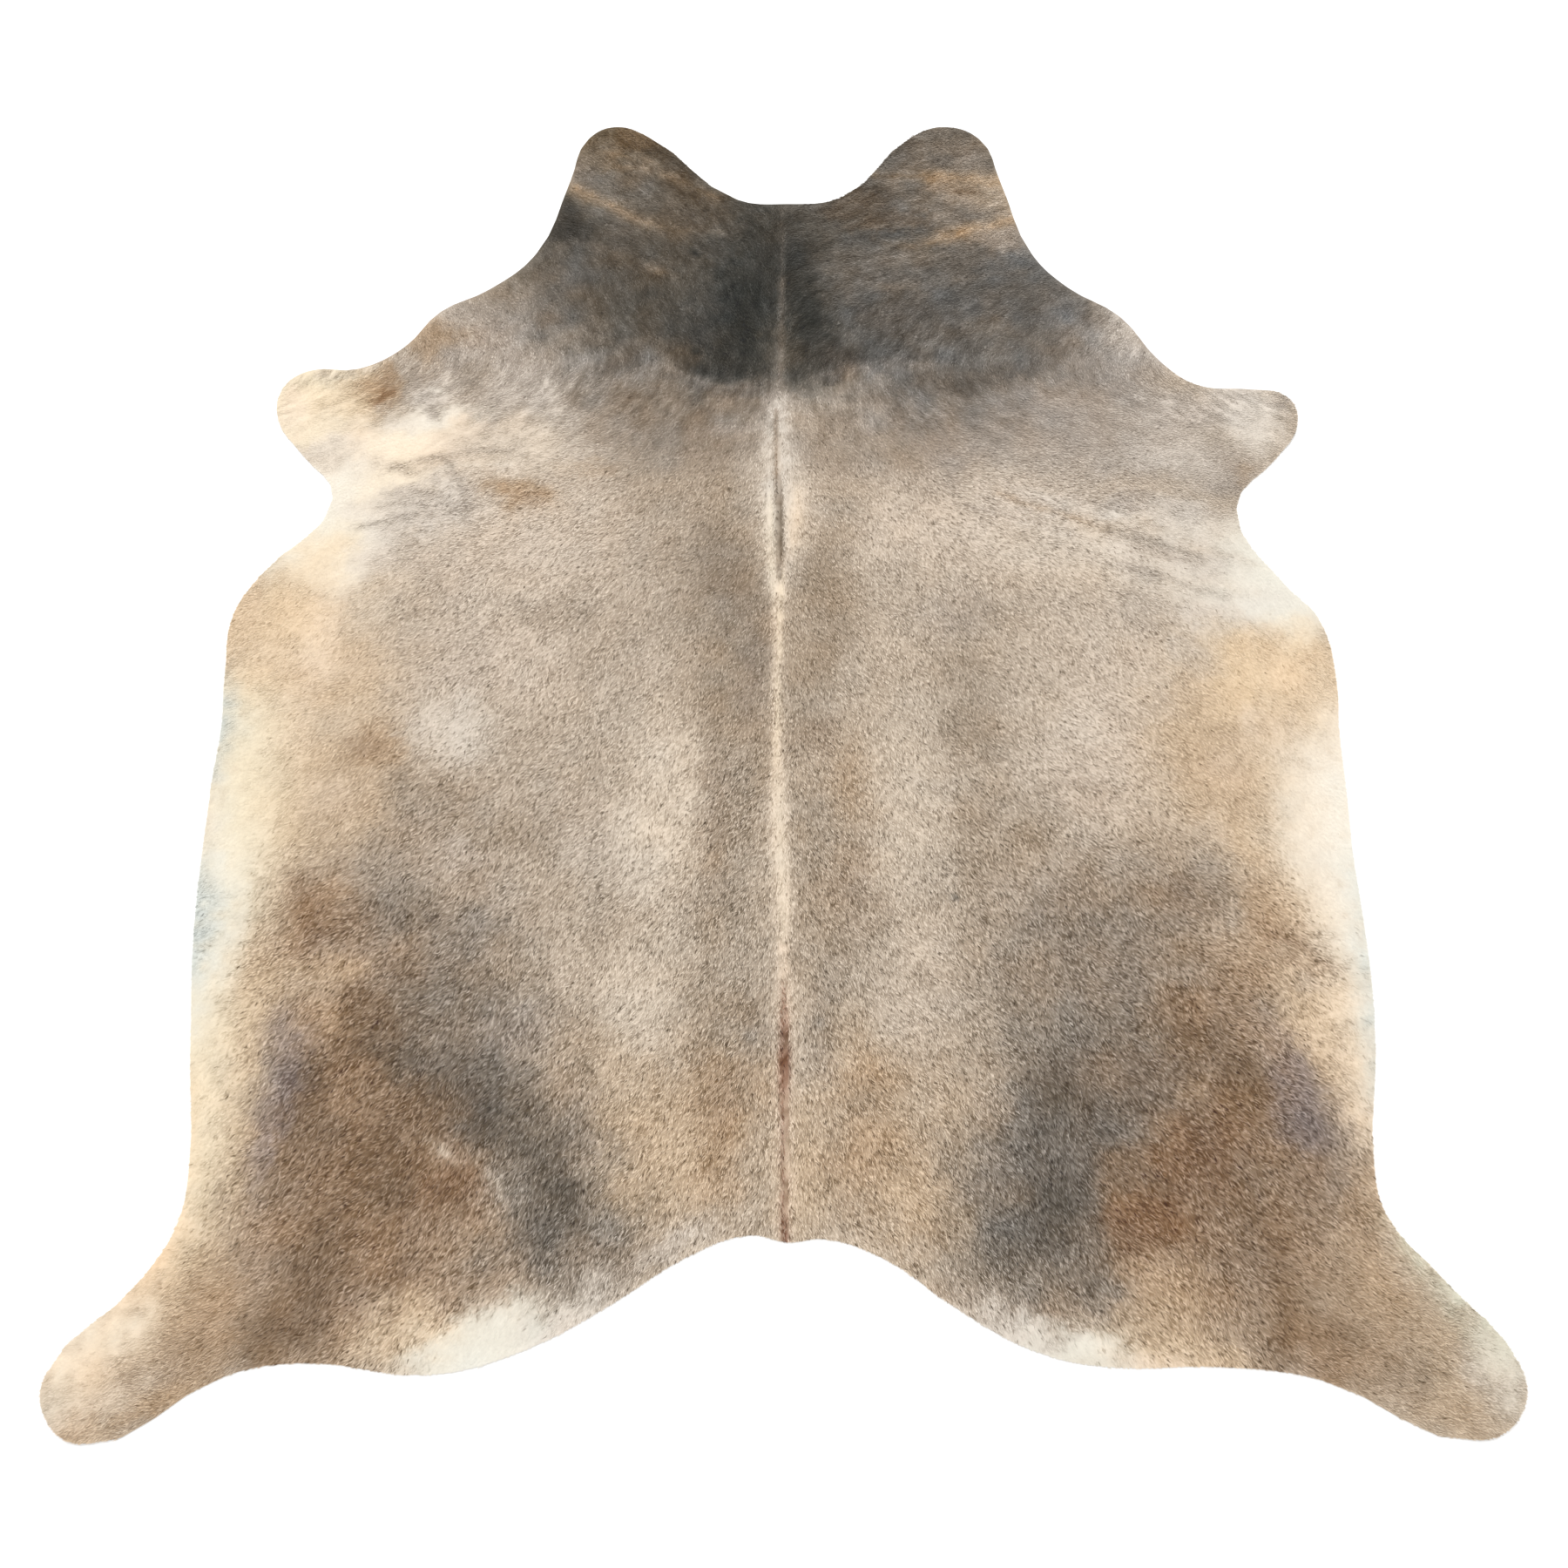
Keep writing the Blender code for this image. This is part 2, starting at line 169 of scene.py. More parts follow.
# Soft markings in the order they lie on each other. Each row has its colour, its middle across and
# along, how far it reaches across and along, and its strength. After that come the degrees by which
# it is turned and how crisp its edge is, where these aren't the usual ones in coatMake. The groups
# of corrections came last, and many of their markings stand at places 6, 10 or 12 cm apart, where
# the coat's tone was compared.
patches = (
    # the back, with its dark columns and its light columns 0.2 m either side of the spine, which are
    # painted sheen
    ("paleTaupe", -0.48, 0.26, 0.22, 0.17, 0.95), ("paleTaupe", 0.38, 0.26, 0.3, 0.1, 0.95, -8),
    ("linen", 0.52, 0.2, 0.14, 0.06, 0.6, -12), ("paleTaupe", 0.51, -0.12, 0.11, 0.18, 0.95),
    ("paleTaupe", 0.62, 0.0, 0.08, 0.12, 0.8), ("paleTaupe", -0.42, 0.0, 0.09, 0.06, 0.85),
    # painted sheen: the linen markings 0.2 m either side of the spine, and the pale taupe one below them
    # on the right
    ("paleTaupe", -0.62, -0.02, 0.1, 0.12, 0.45), ("linen", -0.2, -0.25, 0.065, 0.14, 0.95),
    ("linen", -0.2, -0.52, 0.07, 0.11, 0.6), ("linen", 0.2, -0.24, 0.055, 0.12, 0.65),
    ("paleTaupe", 0.2, -0.56, 0.06, 0.1, 0.5), ("darkTaupe", -0.1, 0.14, 0.075, 0.13, 1.0),
    ("dusk", -0.1, 0.15, 0.045, 0.08, 0.7), ("darkTaupe", -0.085, -0.05, 0.055, 0.12, 0.95),
    ("darkTaupe", -0.09, -0.35, 0.055, 0.22, 0.9), ("darkTaupe", -0.2, 0.14, 0.08, 0.12, 0.4),
    ("darkTaupe", -0.045, 0.03, 0.03, 0.12, 0.6), ("darkTaupe", 0.085, 0.13, 0.045, 0.09, 0.95),
    ("darkTaupe", 0.05, 0.0, 0.035, 0.1, 0.8), ("dusk", 0.038, -0.13, 0.032, 0.035, 0.9),
    ("darkTaupe", 0.07, -0.38, 0.055, 0.19, 0.9), ("sand", 0.11, -0.22, 0.045, 0.07, 0.45),
    ("darkTaupe", -0.38, 0.09, 0.06, 0.03, 0.7), ("darkTaupe", 0.33, 0.08, 0.06, 0.03, 0.5),
    ("darkTaupe", 0.3, -0.02, 0.05, 0.05, 0.65), ("darkTaupe", 0.32, -0.12, 0.05, 0.05, 0.85),
    ("darkTaupe", 0.3, -0.29, 0.045, 0.07, 0.8), ("darkTaupe", 0.39, -0.3, 0.06, 0.05, 0.8),
    ("darkTaupe", 0.29, -0.45, 0.05, 0.09, 0.6), ("darkTaupe", -0.41, -0.28, 0.09, 0.05, 0.75),
    ("darkTaupe", 0.02, -0.05, 0.03, 0.1, 0.5),
    # the rump
    ("darkTaupe", -0.1, -0.61, 0.05, 0.06, 0.75), ("sand", -0.1, -0.71, 0.07, 0.07, 0.9),
    ("earth", -0.09, -0.7, 0.035, 0.04, 0.4), ("fawn", -0.2, -0.77, 0.09, 0.09, 0.85),
    ("sand", 0.11, -0.69, 0.06, 0.06, 0.8), ("sand", 0.12, -0.79, 0.09, 0.06, 0.9),
    ("fawn", 0.2, -0.85, 0.07, 0.06, 0.8), ("fawn", 0.02, -0.8, 0.05, 0.1, 0.7),
    ("sand", -0.1, -0.81, 0.04, 0.05, 0.6), ("fawn", 0.21, -0.7, 0.06, 0.07, 0.5),
    ("fawn", -0.27, -0.66, 0.06, 0.06, 0.5),
    # the left flank
    ("tan", -0.73, 0.01, 0.09, 0.16, 0.9), ("blush", -0.78, 0.06, 0.05, 0.12, 0.75),
    ("tan", -0.74, -0.12, 0.08, 0.1, 0.7), ("blush", -0.79, -0.12, 0.04, 0.12, 0.6),
    ("fawn", -0.67, -0.2, 0.07, 0.09, 0.7), ("tan", -0.77, -0.26, 0.045, 0.1, 0.9),
    ("sand", -0.65, -0.155, 0.045, 0.035, 0.75, -10), ("earth", -0.68, -0.145, 0.025, 0.012, 0.35, -15),
    ("pearl", -0.53, -0.115, 0.058, 0.06, 0.66, 15, 1.6), ("fawn", -0.69, -0.29, 0.07, 0.05, 0.7),
    ("darkTaupe", -0.57, -0.24, 0.07, 0.04, 0.85, -10), ("dusk", -0.6, -0.31, 0.045, 0.05, 0.6),
    ("mist", -0.51, -0.33, 0.05, 0.03, 0.5), ("earth", -0.7, -0.42, 0.08, 0.055, 0.85, 0, 2.5),
    ("chestnut", -0.735, -0.43, 0.035, 0.05, 0.45, 15), ("stone", -0.58, -0.41, 0.06, 0.04, 0.75, -10),
    ("stone", -0.47, -0.46, 0.05, 0.04, 0.65), ("ash", -0.5, -0.5, 0.1, 0.07, 0.7),
    ("earth", -0.62, -0.49, 0.06, 0.03, 0.6),
    # the left thigh
    ("earth", -0.61, -0.78, 0.19, 0.27, 0.97, 0, 2.5), ("fawn", -0.78, -0.56, 0.045, 0.07, 0.85),
    ("tan", -0.72, -0.515, 0.09, 0.022, 0.7, 12), ("sand", -0.705, -0.575, 0.035, 0.03, 0.7),
    ("stone", -0.49, -0.58, 0.1, 0.08, 0.85), ("umber", -0.62, -0.6, 0.08, 0.05, 0.85),
    ("bark", -0.56, -0.655, 0.045, 0.022, 0.5, -20), ("umber", -0.7, -0.68, 0.035, 0.05, 0.8),
    ("dove", -0.755, -0.64, 0.02, 0.035, 0.6), ("plum", -0.735, -0.73, 0.02, 0.09, 1.0, -4),
    ("sand", -0.62, -0.7, 0.03, 0.02, 0.4), ("ash", -0.42, -0.6, 0.06, 0.05, 0.8),
    ("flint", -0.47, -0.68, 0.06, 0.05, 0.8, -30), ("slate", -0.41, -0.72, 0.085, 0.045, 0.75, -38),
    ("smoke", -0.385, -0.745, 0.045, 0.022, 0.5, -30), ("stone", -0.31, -0.8, 0.12, 0.08, 0.7, -55),
    ("slate", -0.32, -0.835, 0.09, 0.04, 0.7, -55), ("smoke", -0.335, -0.81, 0.04, 0.02, 0.35, -50),
    ("slate", -0.355, -0.895, 0.04, 0.03, 0.5), ("stone", -0.29, -0.925, 0.06, 0.025, 0.55, 25),
    ("umber", -0.59, -0.8, 0.06, 0.05, 0.85), ("umber", -0.51, -0.72, 0.05, 0.04, 0.55),
    ("umber", -0.68, -0.77, 0.04, 0.06, 0.4), ("chestnut", -0.475, -0.825, 0.045, 0.035, 0.7),
    ("umber", -0.655, -0.93, 0.035, 0.09, 0.65), ("umber", -0.72, -1.01, 0.07, 0.035, 0.75),
    ("sand", -0.45, -0.91, 0.07, 0.035, 0.5), ("dusk", -0.25, -0.9, 0.05, 0.03, 0.75, 25),
    # the right flank
    ("tan", 0.72, -0.12, 0.1, 0.2, 0.92), ("fawn", 0.66, -0.2, 0.06, 0.1, 0.6),
    ("sand", 0.71, -0.2, 0.035, 0.05, 0.45), ("frost", 0.66, 0.03, 0.03, 0.03, 0.6),
    ("oat", 0.78, -0.04, 0.08, 0.08, 0.7), ("sand", 0.66, -0.01, 0.02, 0.04, 0.3, -30),
    ("sand", 0.715, -0.315, 0.035, 0.014, 0.5), ("darkTaupe", 0.56, -0.33, 0.09, 0.03, 0.55),
    ("ash", 0.49, -0.42, 0.15, 0.07, 0.85), ("stone", 0.62, -0.4, 0.05, 0.035, 0.35),
    ("stone", 0.5, -0.41, 0.05, 0.025, 0.4), ("stone", 0.43, -0.46, 0.06, 0.04, 0.4),
    ("sand", 0.74, -0.42, 0.06, 0.07, 0.9), ("chestnut", 0.755, -0.445, 0.035, 0.016, 0.35, -20),
    # the right thigh
    ("earth", 0.6, -0.78, 0.21, 0.24, 0.97, 0, 2.5), ("stone", 0.46, -0.59, 0.15, 0.1, 0.85),
    ("ash", 0.48, -0.51, 0.14, 0.05, 0.7), ("sand", 0.7, -0.52, 0.06, 0.06, 0.7),
    ("fawn", 0.79, -0.58, 0.055, 0.08, 0.9, 10), ("mist", 0.8, -0.54, 0.025, 0.022, 0.5),
    ("earth", 0.64, -0.55, 0.07, 0.05, 0.7), ("umber", 0.62, -0.61, 0.06, 0.04, 0.6),
    ("flint", 0.48, -0.67, 0.08, 0.06, 0.8), ("umber", 0.69, -0.68, 0.045, 0.035, 0.85, -20),
    ("sand", 0.6, -0.675, 0.025, 0.018, 0.5), ("chestnut", 0.61, -0.78, 0.09, 0.05, 0.6, 15),
    ("flint", 0.47, -0.745, 0.05, 0.028, 0.7), ("stone", 0.3, -0.84, 0.07, 0.1, 0.7, 10),
    ("slate", 0.385, -0.71, 0.05, 0.065, 0.85), ("smoke", 0.39, -0.695, 0.018, 0.028, 0.35),
    ("flint", 0.36, -0.8, 0.07, 0.06, 0.8), ("slate", 0.36, -0.87, 0.075, 0.07, 0.75, 15),
    ("smoke", 0.38, -0.845, 0.03, 0.022, 0.4), ("flint", 0.42, -0.93, 0.04, 0.05, 0.5),
    ("chestnut", 0.51, -0.865, 0.055, 0.04, 0.72), ("umber", 0.675, -0.88, 0.035, 0.06, 0.6),
    ("earth", 0.775, -0.72, 0.04, 0.1, 0.6, 10), ("dove", 0.775, -0.68, 0.024, 0.06, 0.75, 22, 2.5),
    ("dove", 0.8, -0.79, 0.016, 0.04, 0.5, 5), ("plum", 0.765, -0.7, 0.032, 0.095, 0.85, 16),
    ("sand", 0.52, -0.97, 0.07, 0.04, 0.65), ("umber", 0.7, -1.0, 0.025, 0.045, 0.7, -20),
    # the left hind leg
    ("sand", -0.82, -0.95, 0.04, 0.07, 0.7, -20), ("sand", -0.85, -1.06, 0.1, 0.05, 0.9, 38),
    ("dove", -0.84, -1.03, 0.08, 0.02, 0.4, 40), ("linen", -0.93, -1.1, 0.06, 0.035, 0.9, 35),
    # the stone line at -0.82, -1.105 is painted shade on the left hind leg
    ("blush", -0.96, -1.12, 0.04, 0.02, 0.5, 30), ("stone", -0.82, -1.105, 0.05, 0.01, 0.6, 30),
    # the right hind leg
    ("sand", 0.8, -1.0, 0.07, 0.1, 0.45, 35), ("darkTaupe", 0.83, -1.04, 0.09, 0.045, 0.6, -38),
    ("sand", 0.84, -0.94, 0.03, 0.07, 0.6, 30), ("fawn", 0.9, -1.085, 0.07, 0.045, 0.7, -35),
    # the shoulders
    ("ash", -0.21, 0.5, 0.15, 0.09, 0.95), ("ash", -0.18, 0.41, 0.11, 0.05, 0.55),
    ("stone", -0.18, 0.52, 0.1, 0.05, 0.6), ("darkTaupe", -0.21, 0.35, 0.07, 0.06, 0.5),
    ("dove", -0.3, 0.6, 0.12, 0.06, 0.6), ("dove", 0.2, 0.42, 0.18, 0.06, 0.85),
    ("ash", 0.26, 0.5, 0.17, 0.06, 0.9), ("stone", 0.26, 0.515, 0.09, 0.03, 0.4),
    ("dove", 0.5, 0.48, 0.16, 0.08, 0.85, -5), ("mist", 0.58, 0.4, 0.16, 0.05, 0.6, -8),
    ("frost", 0.68, 0.43, 0.06, 0.05, 0.6), ("mist", -0.56, 0.62, 0.12, 0.12, 0.85, 30),
    ("darkTaupe", -0.55, 0.55, 0.04, 0.03, 0.5), ("sand", -0.65, 0.64, 0.035, 0.045, 0.85, 30),
    ("sand", -0.6, 0.66, 0.04, 0.025, 0.35, 20), ("frost", -0.48, 0.53, 0.07, 0.05, 0.55),
    ("frost", -0.41, 0.49, 0.05, 0.05, 0.4), ("mist", -0.45, 0.6, 0.06, 0.04, 0.4),
    ("mist", 0.63, 0.61, 0.08, 0.08, 0.8, -35), ("dove", 0.56, 0.56, 0.07, 0.04, 0.6),
    ("mist", 0.7, 0.49, 0.08, 0.04, 0.7), ("frost", 0.61, 0.69, 0.035, 0.03, 0.75, -40),
    ("sand", -0.34, 0.38, 0.05, 0.02, 0.4), ("darkTaupe", 0.1, 0.42, 0.05, 0.05, 0.5),
    # the neck
    ("smoke", -0.04, 0.97, 0.54, 0.37, 1.0, 0, 4.5), ("pewter", 0.34, 0.76, 0.24, 0.2, 1.0, -12, 3.0),
    ("smoke", -0.28, 0.69, 0.11, 0.06, 0.85, 25, 3.0), ("flint", -0.4, 0.72, 0.07, 0.05, 0.6, 35, 2.5),
    ("flint", -0.4, 0.79, 0.06, 0.05, 0.75), ("pewter", -0.3, 0.82, 0.08, 0.06, 0.4),
    ("slate", -0.22, 0.87, 0.1, 0.07, 0.5), ("stone", -0.3, 0.98, 0.1, 0.05, 0.75, -20),
    ("flint", -0.29, 0.9, 0.05, 0.04, 0.8, -20), ("ash", -0.39, 1.04, 0.035, 0.05, 0.9),
    ("olive", -0.33, 1.11, 0.09, 0.045, 0.9), ("bark", -0.2, 1.05, 0.07, 0.025, 0.6, -38),
    ("umber", -0.17, 0.93, 0.06, 0.04, 0.35), ("charcoal", -0.42, 0.91, 0.05, 0.035, 0.85, -30),
    ("flint", -0.44, 0.855, 0.03, 0.018, 0.7), ("pewter", 0.22, 0.98, 0.16, 0.08, 0.8),
    ("ash", 0.35, 0.96, 0.08, 0.05, 0.95, -5), ("ash", 0.39, 0.88, 0.07, 0.035, 0.9, 15),
    ("stone", 0.28, 0.93, 0.06, 0.03, 0.6), ("flint", 0.3, 1.08, 0.12, 0.07, 0.9),
    ("stone", 0.36, 1.07, 0.04, 0.04, 0.8), ("flint", 0.2, 0.81, 0.14, 0.04, 0.6, 8),
    ("umber", 0.13, 0.95, 0.06, 0.03, 0.5), ("umber", 0.2, 0.9, 0.08, 0.02, 0.5, 5),
    ("slate", 0.42, 0.74, 0.06, 0.03, 0.5, -20), ("flint", 0.33, 0.66, 0.06, 0.014, 0.6, 5),
    ("slate", 0.2, 0.68, 0.08, 0.05, 0.6), ("charcoal", 0.38, 0.845, 0.05, 0.01, 0.4, -12),
    ("coal", -0.07, 0.7, 0.05, 0.12, 0.95, 6, 2.5), ("coal", -0.045, 0.84, 0.035, 0.11, 0.6),
    ("charcoal", -0.14, 0.65, 0.07, 0.07, 0.85, -20, 2.5),
    ("bark", -0.19, 0.625, 0.05, 0.025, 0.5, -25, 2.5),
    ("charcoal", -0.09, 0.59, 0.05, 0.03, 0.75, -12, 2.5), ("coal", 0.035, 0.67, 0.035, 0.11, 0.9, 0, 2.5),
    ("charcoal", 0.09, 0.62, 0.07, 0.035, 0.65, 15, 2.5), ("pewter", 0.3, 0.575, 0.13, 0.03, 0.8),
    ("flint", 0.48, 0.62, 0.07, 0.03, 0.7, 35),
    # the left foreleg, armpit and chest
    ("butter", -0.84, 0.5, 0.12, 0.085, 0.95, 0, 3.5), ("peach", -0.81, 0.53, 0.06, 0.03, 0.35),
    ("blush", -0.88, 0.5, 0.025, 0.05, 0.6), ("blush", -0.76, 0.42, 0.09, 0.05, 0.8, 20, 2.5),
    ("cream", -0.65, 0.435, 0.085, 0.045, 0.95, 4, 2.5), ("ivory", -0.65, 0.478, 0.12, 0.016, 0.75),
    ("blush", -0.58, 0.42, 0.09, 0.04, 0.7), ("linen", -0.47, 0.42, 0.09, 0.04, 0.75),
    ("ivory", -0.79, 0.32, 0.07, 0.1, 0.95, 0, 2.5), ("cream", -0.71, 0.32, 0.05, 0.06, 0.75, 0, 2.5),
    ("pearl", -0.74, 0.24, 0.07, 0.08, 0.85), ("ivory", -0.72, 0.21, 0.035, 0.05, 0.6),
    ("frost", -0.63, 0.31, 0.06, 0.05, 0.6, 15), ("pearl", -0.66, 0.22, 0.04, 0.05, 0.3),
    ("cream", -0.69, 0.345, 0.06, 0.016, 0.75, 20), ("tan", -0.765, 0.555, 0.03, 0.02, 0.6),
    ("frost", -0.64, 0.52, 0.035, 0.03, 0.75), ("tan", -0.755, 0.51, 0.03, 0.045, 0.6, 10),
    # the ash mark at -0.682, 0.528 is painted shadow by the left foreleg
    ("sand", -0.725, 0.545, 0.03, 0.042, 0.9, 10, 2.5), ("ash", -0.682, 0.528, 0.014, 0.026, 0.66, 20),
    ("chestnut", -0.722, 0.537, 0.01, 0.022, 0.7, 8), ("sand", -0.72, 0.575, 0.015, 0.012, 0.6),
    ("butter", -0.79, 0.22, 0.06, 0.05, 0.7, -35), ("oat", -0.84, 0.09, 0.08, 0.09, 0.9, -15),
    ("oat", -0.88, 0.02, 0.06, 0.09, 0.8), ("fawn", -0.885, 0.12, 0.018, 0.045, 0.6, -12),
    ("oat", -0.87, -0.02, 0.06, 0.04, 0.6), ("linen", -0.67, 0.12, 0.05, 0.05, 0.5),
    # the right foreleg, armpit and chest
    ("pearl", 0.83, 0.47, 0.06, 0.065, 0.95, 0, 2.5), ("frost", 0.79, 0.51, 0.04, 0.03, 0.6),
    ("mist", 0.875, 0.505, 0.014, 0.012, 0.8), ("dove", 0.77, 0.37, 0.04, 0.035, 0.85, 25),
    ("sand", 0.79, 0.37, 0.025, 0.012, 0.35, 40), ("pearl", 0.73, 0.255, 0.07, 0.035, 0.7, -10),
    ("pearl", 0.6, 0.275, 0.06, 0.012, 0.7, -8), ("linen", 0.62, 0.19, 0.09, 0.05, 0.6, -15),
    ("bone", 0.82, 0.18, 0.08, 0.07, 1.0, -35), ("pearl", 0.71, 0.15, 0.06, 0.05, 0.75, -10),
    ("bone", 0.8, 0.115, 0.09, 0.036, 0.85, -20), ("oat", 0.83, -0.01, 0.1, 0.065, 0.9),
    ("tan", 0.88, 0.0, 0.03, 0.04, 0.45), ("oat", 0.87, -0.075, 0.07, 0.045, 0.85),
    # the hems of the rump
    ("tan", -0.53, -1.01, 0.08, 0.04, 0.85, 10), ("bone", -0.42, -1.035, 0.12, 0.058, 0.95, 12, 2.5),
    ("pearl", -0.31, -0.995, 0.07, 0.035, 0.9, 30, 2.5), ("frost", -0.16, -0.9, 0.05, 0.018, 0.6, 28),
    ("pearl", 0.3, -1.01, 0.08, 0.035, 0.95, -20, 2.5), ("bone", 0.42, -1.04, 0.09, 0.038, 0.9, -4, 2.5),
    ("tan", 0.54, -1.03, 0.07, 0.03, 0.85), ("blush", 0.5, -1.05, 0.05, 0.018, 0.6),
    ("tan", 0.61, -1.045, 0.05, 0.012, 0.6),
    # corrections on the neck, the shoulders and the chest
    ("smoke", -0.23, 0.84, 0.1, 0.09, 0.75), ("charcoal", 0.0, 0.83, 0.045, 0.08, 0.75),
    ("flint", -0.4, 0.7, 0.05, 0.035, 0.7), ("flint", -0.3, 0.6, 0.05, 0.03, 0.8),
    ("bark", -0.2, 1.0, 0.05, 0.03, 0.4, -20), ("coal", -0.09, 0.66, 0.045, 0.07, 0.5),
    ("stone", 0.3, 1.11, 0.07, 0.025, 0.5), ("flint", 0.2, 1.0, 0.05, 0.035, 0.6),
    ("dusk", 0.31, 1.0, 0.06, 0.022, 0.75), ("darkTaupe", 0.4, 1.0, 0.045, 0.045, 0.9),
    # the dove mark at 0.425, 0.885 is painted highlight along the right neck's rim
    ("dove", 0.425, 0.885, 0.04, 0.045, 0.8, 15), ("flint", 0.5, 0.71, 0.05, 0.03, 0.7, -30),
    ("mist", 0.5, 0.5, 0.06, 0.035, 0.55), ("darkTaupe", 0.2, 0.4, 0.05, 0.035, 0.6),
    ("frost", 0.66, 0.4, 0.08, 0.035, 0.5, -8), ("darkTaupe", 0.1, 0.3, 0.04, 0.05, 0.45),
    ("darkTaupe", -0.1, 0.3, 0.04, 0.06, 0.5), ("mist", 0.6, 0.305, 0.06, 0.02, 0.65, -8),
    ("frost", 0.6, 0.2, 0.05, 0.04, 0.5, -10), ("pearl", 0.7, 0.2, 0.04, 0.035, 0.6),
    ("pearl", 0.8, 0.12, 0.05, 0.03, 0.6), ("frost", -0.59, 0.32, 0.04, 0.035, 0.5),
    # the pearl mark at -0.815, 0.405 is painted shade by the rim under the left foreleg
    ("paleTaupe", -0.6, 0.2, 0.05, 0.045, 0.6), ("pearl", -0.815, 0.405, 0.035, 0.025, 0.8, 30),
    ("tan", -0.905, 0.04, 0.025, 0.05, 0.3),
    # corrections on the back, the flanks and the thighs
    ("dusk", -0.045, -0.02, 0.02, 0.12, 0.8), ("darkTaupe", -0.045, -0.2, 0.022, 0.1, 0.85),
    ("taupe", 0.42, -0.05, 0.05, 0.09, 0.7), ("tan", -0.7, -0.09, 0.04, 0.035, 0.6),
    ("sand", -0.7, -0.5, 0.04, 0.025, 0.6), ("tan", -0.79, -0.5, 0.03, 0.04, 0.5),
    ("darkTaupe", -0.4, -0.51, 0.04, 0.045, 0.65), ("sand", -0.7, -0.6, 0.032, 0.028, 0.75),
    ("dove", -0.4, -0.6, 0.04, 0.035, 0.45), ("stone", -0.42, -0.69, 0.04, 0.025, 0.65, -30),
    ("fawn", -0.2, -0.8, 0.05, 0.045, 0.55), ("dusk", -0.4, -0.905, 0.05, 0.025, 0.75),
    ("sand", -0.81, -0.99, 0.05, 0.045, 0.6, 35), ("tan", -0.5, -1.0, 0.05, 0.025, 0.7, 10),
    ("bone", -0.41, -0.99, 0.06, 0.022, 0.6, 15), ("tan", 0.7, -0.3, 0.04, 0.035, 0.65),
    ("ivory", 0.81, -0.3, 0.03, 0.08, 0.6), ("earth", 0.6, -0.4, 0.04, 0.03, 0.5),
    ("dusk", 0.5, -0.4, 0.05, 0.035, 0.6), ("dusk", 0.49, -0.5, 0.13, 0.03, 0.6),
    ("darkTaupe", 0.3, -0.6, 0.035, 0.045, 0.55), ("tan", 0.8, -0.6, 0.035, 0.045, 0.65),
    ("ash", 0.3, -0.8, 0.032, 0.04, 0.6), ("umber", 0.5, -0.8, 0.03, 0.025, 0.5),
    ("dusk", 0.8, -0.8, 0.025, 0.045, 0.6), ("frost", 0.34, -0.99, 0.07, 0.025, 0.6, -20),
    ("fawn", 0.5, -1.0, 0.06, 0.025, 0.7), ("sand", 0.82, -1.0, 0.06, 0.055, 0.4, 30),
    ("fawn", 0.9, -1.01, 0.04, 0.035, 0.5, -35),
    # softer corrections over the whole coat
    ("stone", -0.3, 1.0, 0.05, 0.035, 0.4), ("bark", -0.2, 0.9, 0.05, 0.035, 0.4),
    ("coal", 0.0, 0.8, 0.035, 0.05, 0.35), ("mist", -0.5, 0.66, 0.05, 0.08, 0.34),
    ("smoke", 0.0, 0.6, 0.03, 0.03, 0.3), ("iron", 0.1, 0.605, 0.05, 0.03, 0.45),
    ("fawn", -0.8, 0.5, 0.04, 0.03, 0.22), ("frost", -0.69, 0.495, 0.03, 0.02, 0.5),
    # the linen mark at -0.8, 0.4 darkens the same painted shade under the left foreleg
    ("linen", -0.8, 0.4, 0.04, 0.03, 0.75, 30), ("pearl", -0.62, 0.3, 0.07, 0.04, 0.44),
    ("ivory", -0.8, 0.21, 0.04, 0.04, 0.45), ("peach", -0.885, 0.1, 0.02, 0.05, 0.5),
    ("paleTaupe", -0.4, 0.1, 0.06, 0.04, 0.38), ("linen", -0.71, -0.1, 0.05, 0.04, 0.45),
    ("taupe", -0.2, -0.22, 0.05, 0.05, 0.28), ("taupe", -0.6, -0.3, 0.045, 0.04, 0.32),
    ("frost", -0.3, -0.3, 0.05, 0.05, 0.3), ("sand", -0.7, -0.4, 0.04, 0.035, 0.34),
    ("taupe", -0.41, -0.5, 0.05, 0.045, 0.4), ("dusk", -0.2, -0.9, 0.04, 0.025, 0.25, 25),
    ("sand", -0.8, -0.91, 0.03, 0.03, 0.38), ("darkTaupe", 0.3, 1.0, 0.05, 0.04, 0.5),
    ("taupe", 0.405, 1.0, 0.04, 0.04, 0.42), ("dusk", 0.3, 0.9, 0.05, 0.035, 0.45),
    # the dove mark at 0.41, 0.9 is painted highlight along the right neck's rim
    ("dove", 0.41, 0.9, 0.04, 0.035, 0.65, 15), ("steel", 0.5, 0.7, 0.05, 0.035, 0.6, -30),
    ("fog", 0.3, 0.5, 0.16, 0.04, 0.22), ("frost", 0.67, 0.5, 0.09, 0.035, 0.34),
    ("frost", 0.45, 0.38, 0.1, 0.06, 0.24, -5), ("pearl", 0.72, 0.39, 0.1, 0.03, 0.16),
    ("pearl", 0.6, 0.2, 0.1, 0.035, 0.26, -10), ("mist", 0.3, 0.09, 0.05, 0.04, 0.4),
    ("tan", 0.8, 0.0, 0.03, 0.05, 0.3), ("fawn", 0.59, -0.3, 0.06, 0.04, 0.28),
    ("taupe", 0.3, -0.41, 0.045, 0.05, 0.26), ("sand", 0.54, -0.4, 0.08, 0.035, 0.22),
    ("sand", 0.4, -0.5, 0.045, 0.04, 0.2), ("sand", 0.6, -0.5, 0.05, 0.04, 0.24),
